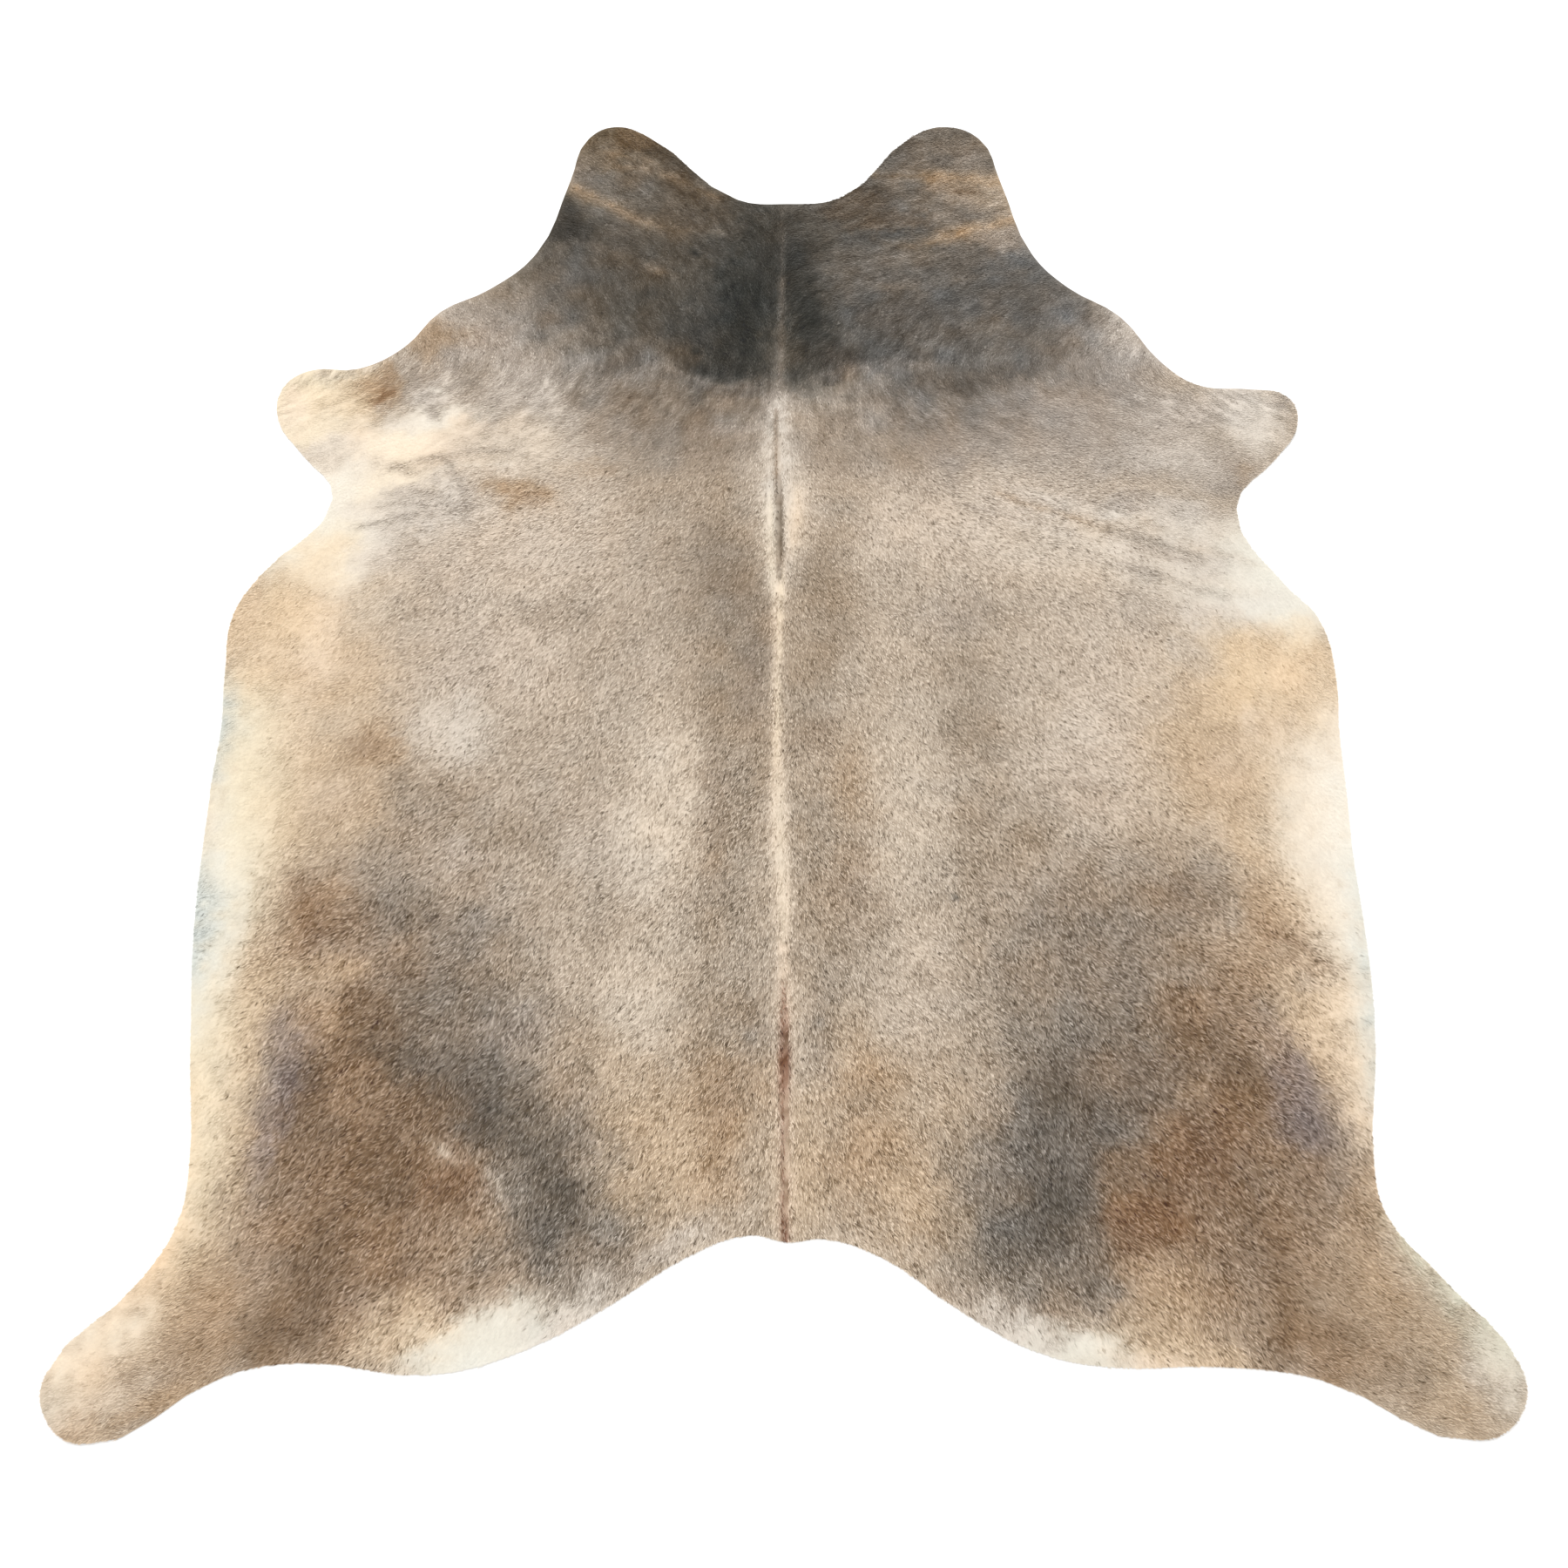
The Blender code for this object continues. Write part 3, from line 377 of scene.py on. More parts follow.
    ("taupe", 0.3, -0.58, 0.04, 0.07, 0.34), ("stone", 0.4, -0.7, 0.04, 0.03, 0.22),
    ("earth", -0.762, -0.455, 0.044, 0.06, 0.72), ("fawn", -0.76, -0.55, 0.06, 0.03, 0.65, 10),
    ("plum", -0.735, -0.65, 0.034, 0.065, 0.55), ("earth", -0.54, -0.955, 0.1, 0.026, 0.75, 10),
    ("stone", -0.25, -0.845, 0.05, 0.032, 0.65), ("slate", -0.45, -0.735, 0.03, 0.03, 0.5),
    ("slate", -0.37, -0.88, 0.035, 0.03, 0.45), ("dove", -0.42, -0.62, 0.05, 0.025, 0.35),
    ("dusk", -0.3, -0.755, 0.03, 0.02, 0.45), ("darkTaupe", -0.3, -0.64, 0.035, 0.05, 0.5),
    ("dusk", -0.045, -0.61, 0.025, 0.04, 0.45), ("dusk", 0.045, -0.6, 0.025, 0.05, 0.4),
    ("darkTaupe", 0.1, -0.74, 0.05, 0.04, 0.35), ("earth", 0.52, -0.655, 0.09, 0.035, 0.5),
    ("slate", 0.43, -0.82, 0.028, 0.05, 0.55), ("earth", 0.84, -0.83, 0.022, 0.045, 0.5),
    ("earth", 0.75, -1.03, 0.06, 0.04, 0.6, -20), ("sand", -0.95, -1.135, 0.04, 0.016, 0.5, 20),
    ("umber", 0.37, -0.975, 0.035, 0.014, 0.45, -10), ("frost", 0.7, 0.29, 0.06, 0.022, 0.6),
    ("pearl", 0.73, 0.1, 0.07, 0.03, 0.6), ("mist", -0.52, 0.0, 0.06, 0.05, 0.25),
    ("linen", -0.69, 0.5, 0.036, 0.03, 0.9), ("frost", 0.42, 0.3, 0.08, 0.04, 0.25, -8),
    ("blush", 0.79, -0.13, 0.045, 0.04, 0.65), ("iron", 0.2, 0.6, 0.06, 0.03, 0.25),
    ("smoke", 0.01, 0.6, 0.05, 0.03, 0.6), ("dove", -0.035, 0.51, 0.06, 0.035, 0.45),
    ("stone", 0.21, 0.99, 0.04, 0.03, 0.4), ("taupe", 0.41, 0.93, 0.03, 0.05, 0.35),
    ("taupe", 0.4, 1.0, 0.03, 0.04, 0.4), ("taupe", -0.25, -0.4, 0.08, 0.06, 0.45),
    ("taupe", 0.2, -0.21, 0.045, 0.05, 0.35), ("dusk", 0.2, -0.66, 0.04, 0.07, 0.22),
    ("dusk", -0.01, -0.72, 0.035, 0.06, 0.2), ("earth", -0.61, -0.7, 0.04, 0.035, 0.4),
    ("earth", 0.7, -0.91, 0.035, 0.04, 0.4), ("paleTaupe", 0.56, -0.29, 0.08, 0.035, 0.35),
    ("fawn", 0.7, -0.22, 0.04, 0.05, 0.4), ("fawn", -0.79, -0.62, 0.02, 0.12, 0.45),
    ("slate", 0.16, 0.6, 0.1, 0.025, 0.25), ("darkTaupe", -0.1, 0.2, 0.03, 0.035, 0.45),
    ("taupe", -0.3, 0.0, 0.045, 0.045, 0.35),
    # corrections at places 10 cm apart, from the neck to the hind legs
    ("umber", -0.3, 1.1, 0.05, 0.03, 0.5), ("bark", -0.3, 0.8, 0.05, 0.04, 0.35),
    ("bark", 0.3, 0.8, 0.05, 0.035, 0.18), ("iron", 0.1, 0.6, 0.05, 0.03, 0.38),
    ("steel", 0.5, 0.6, 0.06, 0.04, 0.45), ("fog", 0.6, 0.6, 0.05, 0.04, 0.3),
    ("umber", -0.1, 0.5, 0.045, 0.035, 0.32), ("dove", 0.2, 0.5, 0.04, 0.035, 0.28),
    ("fog", 0.8, 0.5, 0.04, 0.03, 0.1), ("linen", -0.5, 0.4, 0.06, 0.03, 0.3),
    ("taupe", -0.3, 0.4, 0.04, 0.035, 0.35), ("dove", 0.3, 0.4, 0.05, 0.03, 0.45),
    ("frost", 0.46, 0.3, 0.09, 0.03, 0.45, -8), ("fog", 0.6, 0.305, 0.05, 0.02, 0.15),
    ("pearl", 0.7, 0.3, 0.035, 0.025, 0.25), ("oat", -0.8, 0.2, 0.05, 0.04, 0.55),
    ("frost", -0.69, 0.2, 0.05, 0.045, 0.3), ("darkTaupe", -0.6, 0.2, 0.045, 0.045, 0.13),
    ("stone", -0.1, 0.16, 0.045, 0.08, 0.22), ("tan", -0.8, 0.1, 0.045, 0.035, 0.2),
    ("fog", 0.6, 0.1, 0.05, 0.04, 0.15), ("frost", 0.7, 0.1, 0.04, 0.035, 0.35),
    ("bone", 0.81, 0.1, 0.045, 0.03, 0.5, -20), ("blush", -0.8, 0.0, 0.14, 0.035, 0.3),
    ("darkTaupe", -0.3, 0.0, 0.05, 0.045, 0.22), ("darkTaupe", 0.5, 0.0, 0.04, 0.04, 0.15),
    ("frost", 0.7, 0.0, 0.035, 0.03, 0.25), ("pearl", 0.8, -0.1, 0.04, 0.035, 0.25),
    ("darkTaupe", -0.3, -0.2, 0.05, 0.05, 0.2), ("blush", 0.7, -0.2, 0.04, 0.04, 0.22),
    ("darkTaupe", -0.3, -0.41, 0.055, 0.05, 0.28), ("darkTaupe", -0.2, -0.45, 0.045, 0.08, 0.14),
    ("dusk", -0.46, -0.4, 0.08, 0.04, 0.18), ("earth", 0.1, -0.4, 0.04, 0.06, 0.15),
    ("fawn", 0.1, -0.6, 0.04, 0.04, 0.3), ("taupe", 0.3, -0.6, 0.035, 0.04, 0.22),
    ("umber", -0.6, -0.7, 0.035, 0.03, 0.32), ("stone", -0.4, -0.7, 0.03, 0.025, 0.4),
    ("earth", -0.3, -0.7, 0.035, 0.035, 0.25), ("earth", 0.3, -0.7, 0.035, 0.035, 0.22),
    ("stone", -0.4, -0.8, 0.03, 0.028, 0.7), ("earth", 0.12, -0.82, 0.05, 0.045, 0.13),
    ("earth", 0.2, -0.9, 0.04, 0.03, 0.13), ("chestnut", -0.5, -0.9, 0.04, 0.03, 0.12),
    ("dusk", -0.3, -0.905, 0.03, 0.02, 0.3), ("umber", 0.7, -0.9, 0.03, 0.035, 0.2),
    ("sand", 0.8, -0.9, 0.03, 0.04, 0.3), ("earth", -0.7, -1.0, 0.04, 0.03, 0.3),
    ("mist", -0.3, -1.0, 0.05, 0.03, 0.2, 20), ("pearl", 0.3, -1.0, 0.05, 0.025, 0.3, -20),
    # corrections on the sides of the neck and the shoulders
    ("frost", 0.6, 0.665, 0.045, 0.035, 0.65, -35), ("mist", 0.54, 0.655, 0.04, 0.03, 0.33, -30),
    ("stone", 0.36, 0.66, 0.03, 0.025, 0.5), ("slate", 0.24, 0.66, 0.03, 0.03, 0.55),
    ("iron", 0.16, 0.69, 0.07, 0.035, 0.2), ("coal", 0.05, 0.6, 0.03, 0.025, 0.28),
    ("mist", 0.54, 0.6, 0.035, 0.03, 0.22), ("pewter", 0.12, 0.54, 0.035, 0.025, 0.28),
    ("dove", 0.18, 0.55, 0.03, 0.02, 0.3), ("pewter", 0.25, 0.54, 0.035, 0.025, 0.4),
    ("dove", 0.41, 0.54, 0.045, 0.025, 0.48), ("steel", 0.6, 0.54, 0.04, 0.03, 0.15),
    ("steel", 0.12, 0.48, 0.035, 0.03, 0.18), ("frost", 0.6, 0.48, 0.04, 0.03, 0.25),
    ("earth", -0.54, 0.65, 0.04, 0.04, 0.22), ("dove", -0.36, 0.66, 0.035, 0.03, 0.27),
    ("charcoal", -0.24, 0.66, 0.035, 0.03, 0.35), ("coal", -0.06, 0.63, 0.035, 0.05, 0.65),
    ("slate", -0.06, 0.54, 0.04, 0.025, 0.6), ("stone", -0.06, 0.48, 0.035, 0.03, 0.5),
    ("ash", -0.06, 0.42, 0.03, 0.035, 0.45), ("pearl", -0.61, 0.54, 0.04, 0.025, 0.27),
    ("darkTaupe", -0.54, 0.55, 0.025, 0.055, 0.34), ("mist", -0.54, 0.48, 0.03, 0.025, 0.3),
    ("stone", -0.36, 0.54, 0.035, 0.03, 0.38), ("slate", -0.24, 0.6, 0.035, 0.025, 0.3),
    ("frost", -0.42, 0.6, 0.035, 0.03, 0.18), ("ivory", -0.66, 0.48, 0.035, 0.022, 0.62),
    ("frost", -0.36, 0.42, 0.04, 0.03, 0.35), ("taupe", -0.24, 0.42, 0.035, 0.03, 0.2),
    # the right flank
    ("mist", 0.72, 0.18, 0.035, 0.025, 0.2), ("cream", 0.85, 0.055, 0.04, 0.03, 0.5),
    ("pearl", 0.75, 0.06, 0.05, 0.03, 0.48), ("linen", 0.66, 0.0, 0.035, 0.035, 0.35),
    ("fawn", 0.76, 0.0, 0.045, 0.028, 0.15), ("peach", 0.84, -0.03, 0.04, 0.05, 0.4),
    ("blush", 0.72, -0.18, 0.03, 0.03, 0.3), ("paleTaupe", 0.66, -0.3, 0.035, 0.03, 0.35),
    # the left flank, the rump and the hind legs
    ("peach", -0.89, 0.0, 0.04, 0.04, 0.3), ("sand", -0.67, -0.6, 0.07, 0.03, 0.15),
    ("earth", -0.1, -0.8, 0.035, 0.035, 0.15), ("earth", -0.8, -0.95, 0.03, 0.07, 0.15),
    ("flint", 0.5, -0.8, 0.03, 0.025, 0.25), ("stone", 0.7, -0.8, 0.035, 0.03, 0.3),
    # corrections at places 12 cm apart, on the left
    ("stone", -0.36, 1.08, 0.035, 0.03, 0.5), ("bark", -0.24, 1.08, 0.04, 0.03, 0.3),
    ("frost", -0.6, 0.72, 0.035, 0.03, 0.3, 30), ("smoke", -0.36, 0.72, 0.035, 0.03, 0.42),
    ("coal", 0.0, 0.72, 0.03, 0.035, 0.25), ("pearl", -0.72, 0.48, 0.03, 0.025, 0.3),
    ("blush", -0.84, 0.48, 0.04, 0.03, 0.25), ("frost", -0.72, 0.36, 0.035, 0.03, 0.2),
    ("pearl", -0.6, 0.36, 0.035, 0.025, 0.42), ("pearl", -0.48, 0.36, 0.035, 0.022, 0.5),
    ("taupe", -0.24, 0.36, 0.04, 0.035, 0.3), ("paleTaupe", -0.24, 0.24, 0.04, 0.04, 0.28),
    ("darkTaupe", -0.6, 0.12, 0.04, 0.035, 0.16), ("paleTaupe", -0.24, 0.12, 0.04, 0.04, 0.35),
    ("darkTaupe", -0.36, 0.0, 0.035, 0.035, 0.18), ("paleTaupe", -0.24, 0.0, 0.04, 0.04, 0.38),
    ("blush", -0.72, -0.24, 0.04, 0.035, 0.36), ("earth", -0.48, -0.24, 0.035, 0.03, 0.12),
    ("frost", -0.36, -0.24, 0.035, 0.035, 0.3), ("taupe", -0.24, -0.24, 0.03, 0.035, 0.36),
    ("earth", -0.12, -0.24, 0.03, 0.06, 0.26), ("earth", -0.12, -0.36, 0.03, 0.05, 0.22),
    ("dusk", -0.48, -0.36, 0.035, 0.03, 0.33), ("pearl", -0.24, -0.36, 0.035, 0.035, 0.25),
    ("umber", -0.72, -0.72, 0.03, 0.035, 0.28), ("fawn", -0.24, -0.72, 0.035, 0.035, 0.6),
    ("earth", -0.12, -0.72, 0.03, 0.03, 0.18), ("sand", -0.6, -0.84, 0.03, 0.03, 0.14),
    ("umber", -0.48, -0.84, 0.03, 0.03, 0.38), ("umber", -0.72, -0.96, 0.035, 0.03, 0.27),
    ("tan", -0.48, -0.96, 0.035, 0.025, 0.26, 10), ("frost", -0.24, -0.955, 0.035, 0.02, 0.33, 20),
    # and on the right
    ("dove", 0.36, 1.08, 0.035, 0.03, 0.45), ("bark", 0.12, 0.96, 0.035, 0.03, 0.46),
    ("slate", 0.24, 0.96, 0.035, 0.03, 0.23), ("smoke", 0.24, 0.84, 0.04, 0.03, 0.28),
    ("paleTaupe", 0.24, 0.36, 0.04, 0.03, 0.25), ("darkTaupe", 0.12, 0.24, 0.035, 0.035, 0.3),
    ("pearl", 0.48, -0.12, 0.035, 0.035, 0.32), ("fog", 0.24, -0.24, 0.03, 0.03, 0.15),
    ("earth", 0.48, -0.24, 0.035, 0.035, 0.18), ("earth", 0.12, -0.36, 0.03, 0.05, 0.26),
    ("dusk", 0.36, -0.36, 0.035, 0.035, 0.23), ("taupe", 0.48, -0.36, 0.035, 0.03, 0.2),
    ("sand", 0.84, -0.84, 0.03, 0.03, 0.45), ("earth", 0.24, -0.96, 0.035, 0.02, 0.3),
    ("stone", 0.36, -0.96, 0.03, 0.02, 0.28), ("tan", 0.84, -0.96, 0.03, 0.035, 0.18),
    ("dusk", 0.85, -1.07, 0.03, 0.03, 0.36), ("pearl", 0.965, -1.08, 0.03, 0.03, 0.45),
)

# Lines of another colour. Each row has its colour, its strength, how soft its edge is, and then the
# places it runs through: across, along and its half width there.
strokes = (
    # the pale belly edges and the backs of the hind legs, with painted shadows by the lifted folds of the
    # belly edges
    ("tan", 0.7, 0.016, (-0.93, -0.05, 0.15), (-0.92, -0.22, 0.16), (-0.92, -0.45, 0.14),
        (-0.9, -0.66, 0.13), (-0.88, -0.84, 0.11), (-0.93, -0.95, 0.09)),
    ("butter", 1.5, 0.024, (-0.94, -0.07, 0.03), (-0.92, -0.14, 0.106), (-0.92, -0.22, 0.118),
        (-0.92, -0.34, 0.119), (-0.91, -0.42, 0.103), (-0.9, -0.5, 0.073), (-0.9, -0.62, 0.078),
        (-0.87, -0.78, 0.061), (-0.88, -0.87, 0.05)),
    ("peach", 1.0, 0.016, (-0.89, -0.88, 0.04), (-0.94, -0.97, 0.07), (-0.98, -1.03, 0.072)),
    ("bone", 0.85, 0.014, (-0.9, -0.2, 0.004), (-0.89, -0.28, 0.012), (-0.88, -0.36, 0.046),
        (-0.87, -0.44, 0.05), (-0.875, -0.52, 0.034), (-0.875, -0.6, 0.01)),
    ("peach", 0.55, 0.01, (-0.87, -0.66, 0.01), (-0.86, -0.8, 0.014), (-0.88, -0.92, 0.01)),
    ("bone", 0.5, 0.012, (-0.95, -0.99, 0.02), (-0.98, -1.04, 0.03), (-0.99, -1.09, 0.026)),
    ("bone", 0.7, 0.012, (-0.775, 0.33, 0.018), (-0.79, 0.27, 0.02), (-0.83, 0.215, 0.014),
        (-0.87, 0.175, 0.004)),
    ("sand", 0.5, 0.012, (-0.8, -0.44, 0.01), (-0.802, -0.49, 0.018), (-0.808, -0.53, 0.006)),
    # painted shade: a narrow darker band along the left belly's rim
    ("linen", 0.6, 0.01, (-0.925, 0.02, 0.01), (-0.915, -0.2, 0.01), (-0.9, -0.3, 0.016),
        (-0.915, -0.36, 0.006)),
    # painted shadow by the lifted fold of the left belly's upper edge
    ("shade", 0.95, 0.013, (-0.915, -0.04, 0.008), (-0.904, -0.11, 0.029), (-0.915, -0.2, 0.005)),
    ("bone", 0.6, 0.012, (-0.885, -0.98, 0.01), (-0.915, -1.02, 0.018)),
    # painted shadow by the lifted fold of the left belly's lower edge
    ("shade", 1.15, 0.011, (-0.915, -0.35, 0.012), (-0.9, -0.41, 0.036), (-0.897, -0.45, 0.034),
        (-0.89, -0.51, 0.01)),
    ("tan", 0.7, 0.016, (0.9, -0.16, 0.15), (0.9, -0.3, 0.155), (0.9, -0.45, 0.13), (0.9, -0.55, 0.1),
        (0.88, -0.66, 0.075), (0.9, -0.88, 0.05)),
    ("chalk", 1.4, 0.024, (0.92, -0.12, 0.05), (0.915, -0.22, 0.114), (0.9, -0.3, 0.11),
        (0.9, -0.4, 0.088), (0.89, -0.52, 0.048), (0.885, -0.63, 0.04), (0.86, -0.75, 0.01)),
    ("peach", 0.6, 0.012, (0.84, -0.54, 0.02), (0.84, -0.64, 0.03), (0.83, -0.74, 0.012)),
    ("bone", 0.65, 0.012, (0.88, -0.22, 0.01), (0.885, -0.32, 0.022), (0.885, -0.42, 0.03),
        (0.88, -0.55, 0.026), (0.87, -0.66, 0.012)),
    # painted shadow by the lifted fold of the right belly's edge
    ("shade", 0.6, 0.01, (0.89, -0.34, 0.004), (0.88, -0.48, 0.012), (0.872, -0.6, 0.012),
        (0.862, -0.68, 0.004)),
    ("moss", 0.9, 0.008, (0.86, -0.87, 0.006), (0.922, -0.945, 0.024), (0.985, -1.03, 0.03)),
    ("bone", 0.55, 0.01, (0.96, -1.02, 0.01), (0.985, -1.05, 0.02), (0.99, -1.1, 0.018)),
    ("bone", 0.6, 0.012, (0.79, 0.27, 0.006), (0.8, 0.22, 0.02), (0.85, 0.15, 0.02), (0.89, 0.08, 0.006)),
    # the spine, dull on the neck and broad and pale on the shoulders
    ("flint", 0.7, 0.002, (-0.002, 0.96, 0.002), (-0.003, 0.8, 0.002), (-0.003, 0.72, 0.003)),
    ("ash", 0.75, 0.003, (-0.003, 0.78, 0.001), (-0.005, 0.68, 0.005), (-0.005, 0.62, 0.005),
        (-0.005, 0.56, 0.006)),
    ("mist", 0.75, 0.007, (-0.008, 0.56, 0.002), (-0.012, 0.51, 0.013), (-0.014, 0.47, 0.022)),
    ("pearl", 0.95, 0.009, (-0.01, 0.51, 0.003), (-0.012, 0.45, 0.024), (-0.01, 0.38, 0.031),
        (-0.004, 0.3, 0.034), (-0.006, 0.22, 0.02), (-0.01, 0.14, 0.006)),
    ("peach", 0.5, 0.008, (0.022, 0.33, 0.004), (0.02, 0.27, 0.014), (0.014, 0.21, 0.006)),
    ("cream", 0.3, 0.006, (-0.03, 0.3, 0.006), (-0.028, 0.22, 0.008), (-0.02, 0.14, 0.004)),
    ("blush", 0.92, 0.003, (-0.006, 0.2, 0.006), (-0.006, 0.14, 0.01), (-0.011, 0.07, 0.008),
        (-0.013, -0.05, 0.006), (-0.013, -0.15, 0.007), (-0.009, -0.26, 0.012), (-0.004, -0.34, 0.012),
        (-0.002, -0.44, 0.009), (0.0, -0.52, 0.005)),
    ("butter", 0.6, 0.003, (-0.003, 0.17, 0.003), (-0.01, 0.05, 0.003), (-0.012, -0.18, 0.003),
        (-0.008, -0.28, 0.006), (-0.003, -0.38, 0.005), (0.0, -0.46, 0.002)),
    ("dusk", 0.35, 0.001, (-0.01, 0.14, 0.001), (-0.014, 0.05, 0.0012), (-0.015, -0.05, 0.0012),
        (-0.014, -0.16, 0.0005)),
    ("linen", 0.7, 0.006, (-0.008, -0.2, 0.012), (-0.006, -0.3, 0.018), (-0.003, -0.44, 0.012)),
    ("cream", 0.45, 0.003, (-0.024, 0.33, 0.001), (-0.022, 0.26, 0.004), (-0.019, 0.18, 0.004),
        (-0.016, 0.1, 0.002)),
    ("umber", 0.9, 0.002, (-0.014, 0.49, 0.001), (-0.013, 0.4, 0.003), (-0.01, 0.3, 0.0035)),
    ("bark", 1.15, 0.002, (-0.01, 0.36, 0.001), (-0.009, 0.28, 0.0055), (-0.008, 0.21, 0.0055),
        (-0.008, 0.16, 0.001)),
    ("blush", 0.6, 0.004, (0.001, -0.48, 0.008), (0.001, -0.58, 0.015), (0.001, -0.88, 0.014)),
    ("rust", 1.0, 0.0018, (0.0, -0.53, 0.0005), (0.0, -0.58, 0.0045), (0.001, -0.63, 0.008),
        (0.0, -0.68, 0.0065), (0.0, -0.73, 0.003), (0.0, -0.8, 0.003), (0.001, -0.9, 0.0045)),
    # the pale hairs that cross the neck
    ("caramel", 0.8, 0.006, (-0.425, 1.015, 0.008), (-0.385, 0.985, 0.009), (-0.34, 0.962, 0.01),
        (-0.3, 0.935, 0.007), (-0.255, 0.91, 0.002)),
    ("sand", 0.35, 0.008, (-0.3, 0.935, 0.008), (-0.24, 0.905, 0.01), (-0.18, 0.895, 0.006),
        (-0.12, 0.89, 0.002)),
    ("caramel", 0.55, 0.006, (-0.345, 1.08, 0.003), (-0.28, 1.07, 0.008), (-0.235, 1.048, 0.004)),
    ("sand", 0.65, 0.006, (-0.34, 1.045, 0.003), (-0.28, 1.045, 0.006), (-0.22, 1.025, 0.008),
        (-0.17, 0.995, 0.007), (-0.13, 0.975, 0.002)),
    ("bark", 0.55, 0.005, (-0.27, 1.025, 0.003), (-0.21, 1.0, 0.006), (-0.17, 0.975, 0.002)),
    ("dove", 0.35, 0.006, (-0.4, 0.875, 0.002), (-0.34, 0.855, 0.005), (-0.28, 0.83, 0.005),
        (-0.23, 0.798, 0.006), (-0.2, 0.785, 0.001)),
    ("sand", 0.35, 0.005, (-0.255, 0.81, 0.002), (-0.23, 0.797, 0.005), (-0.21, 0.788, 0.001)),
    ("caramel", 0.85, 0.006, (0.27, 1.018, 0.002), (0.31, 1.018, 0.008), (0.36, 1.018, 0.01),
        (0.42, 1.01, 0.016)),
    ("sand", 0.6, 0.006, (0.17, 1.03, 0.003), (0.25, 1.028, 0.005), (0.32, 1.03, 0.004)),
    ("umber", 0.45, 0.005, (0.26, 0.995, 0.003), (0.33, 0.99, 0.006), (0.37, 0.985, 0.002)),
    ("caramel", 0.9, 0.006, (0.45, 0.925, 0.008), (0.39, 0.913, 0.009), (0.345, 0.895, 0.012),
        (0.315, 0.882, 0.01), (0.27, 0.87, 0.003)),
    ("sand", 0.5, 0.007, (0.3, 0.88, 0.006), (0.24, 0.865, 0.008), (0.19, 0.862, 0.003)),
    ("ash", 0.6, 0.006, (0.17, 0.765, 0.003), (0.24, 0.77, 0.008), (0.28, 0.772, 0.006),
        (0.32, 0.778, 0.002)),
    ("ash", 0.5, 0.004, (0.32, 0.778, 0.003), (0.4, 0.795, 0.003), (0.46, 0.802, 0.003)),
    ("ash", 0.4, 0.006, (0.1, 0.84, 0.002), (0.2, 0.83, 0.006), (0.3, 0.84, 0.003)),
    ("dove", 0.6, 0.007, (0.05, 0.565, 0.004), (0.14, 0.582, 0.008), (0.21, 0.59, 0.01),
        (0.29, 0.588, 0.004)),
    ("slate", 0.5, 0.01, (0.18, 0.545, 0.004), (0.25, 0.545, 0.01), (0.34, 0.55, 0.012),
        (0.42, 0.57, 0.004)),
    ("dove", 0.75, 0.004, (-0.25, 0.6, 0.003), (-0.19, 0.57, 0.005), (-0.12, 0.545, 0.005),
        (-0.05, 0.54, 0.003)),
    ("flint", 0.7, 0.004, (-0.22, 0.57, 0.003), (-0.15, 0.545, 0.006), (-0.08, 0.525, 0.005),
        (-0.04, 0.52, 0.002)),
    ("mist", 0.55, 0.006, (-0.14, 0.455, 0.004), (-0.1, 0.453, 0.008), (-0.06, 0.455, 0.004)),
    ("stone", 0.45, 0.006, (-0.22, 0.43, 0.004), (-0.15, 0.42, 0.007), (-0.09, 0.42, 0.007),
        (-0.05, 0.422, 0.003)),
    ("taupe", 0.55, 0.006, (0.05, 0.5, 0.006), (0.1, 0.502, 0.008), (0.16, 0.495, 0.003)),
    # wrinkles behind the forelegs: their darker and lighter lines are painted shade and painted light that
    # stand in for the ridges' relief
    ("ash", 0.55, 0.005, (-0.68, 0.375, 0.001), (-0.65, 0.388, 0.003), (-0.62, 0.393, 0.004),
        (-0.59, 0.404, 0.003), (-0.55, 0.412, 0.003), (-0.48, 0.41, 0.001)),
    ("ash", 0.5, 0.005, (-0.725, 0.256, 0.0), (-0.68, 0.274, 0.003), (-0.62, 0.283, 0.003),
        (-0.56, 0.292, 0.003), (-0.53, 0.3, 0.001)),
    ("ash", 0.62, 0.0042, (-0.595, 0.4, 0.001), (-0.575, 0.36, 0.003), (-0.552, 0.325, 0.003),
        (-0.548, 0.29, 0.005), (-0.53, 0.25, 0.001)),
    ("ash", 0.45, 0.0035, (-0.64, 0.33, 0.001), (-0.6, 0.322, 0.003), (-0.56, 0.3, 0.002)),
    ("ash", 0.4, 0.0035, (-0.7, 0.3, 0.001), (-0.64, 0.31, 0.002), (-0.59, 0.3, 0.002)),
    ("ivory", 0.45, 0.004, (-0.6, 0.375, 0.002), (-0.56, 0.385, 0.003), (-0.48, 0.385, 0.001)),
    ("sand", 0.65, 0.0045, (0.37, 0.325, 0.001), (0.43, 0.3, 0.003), (0.5, 0.272, 0.003),
        (0.55, 0.255, 0.003)),
    ("stone", 0.55, 0.0045, (0.53, 0.262, 0.001), (0.6, 0.24, 0.004), (0.66, 0.215, 0.004),
        (0.705, 0.2, 0.001)),
    ("dove", 0.5, 0.004, (0.6, 0.222, 0.001), (0.65, 0.203, 0.003), (0.7, 0.185, 0.002)),
    ("ash", 0.48, 0.0045, (0.39, 0.25, 0.001), (0.47, 0.222, 0.002), (0.55, 0.192, 0.003),
        (0.62, 0.165, 0.004), (0.68, 0.14, 0.003), (0.74, 0.125, 0.001)),
    ("dove", 0.5, 0.0035, (0.3, 0.3, 0.001), (0.4, 0.275, 0.002), (0.5, 0.24, 0.002)),
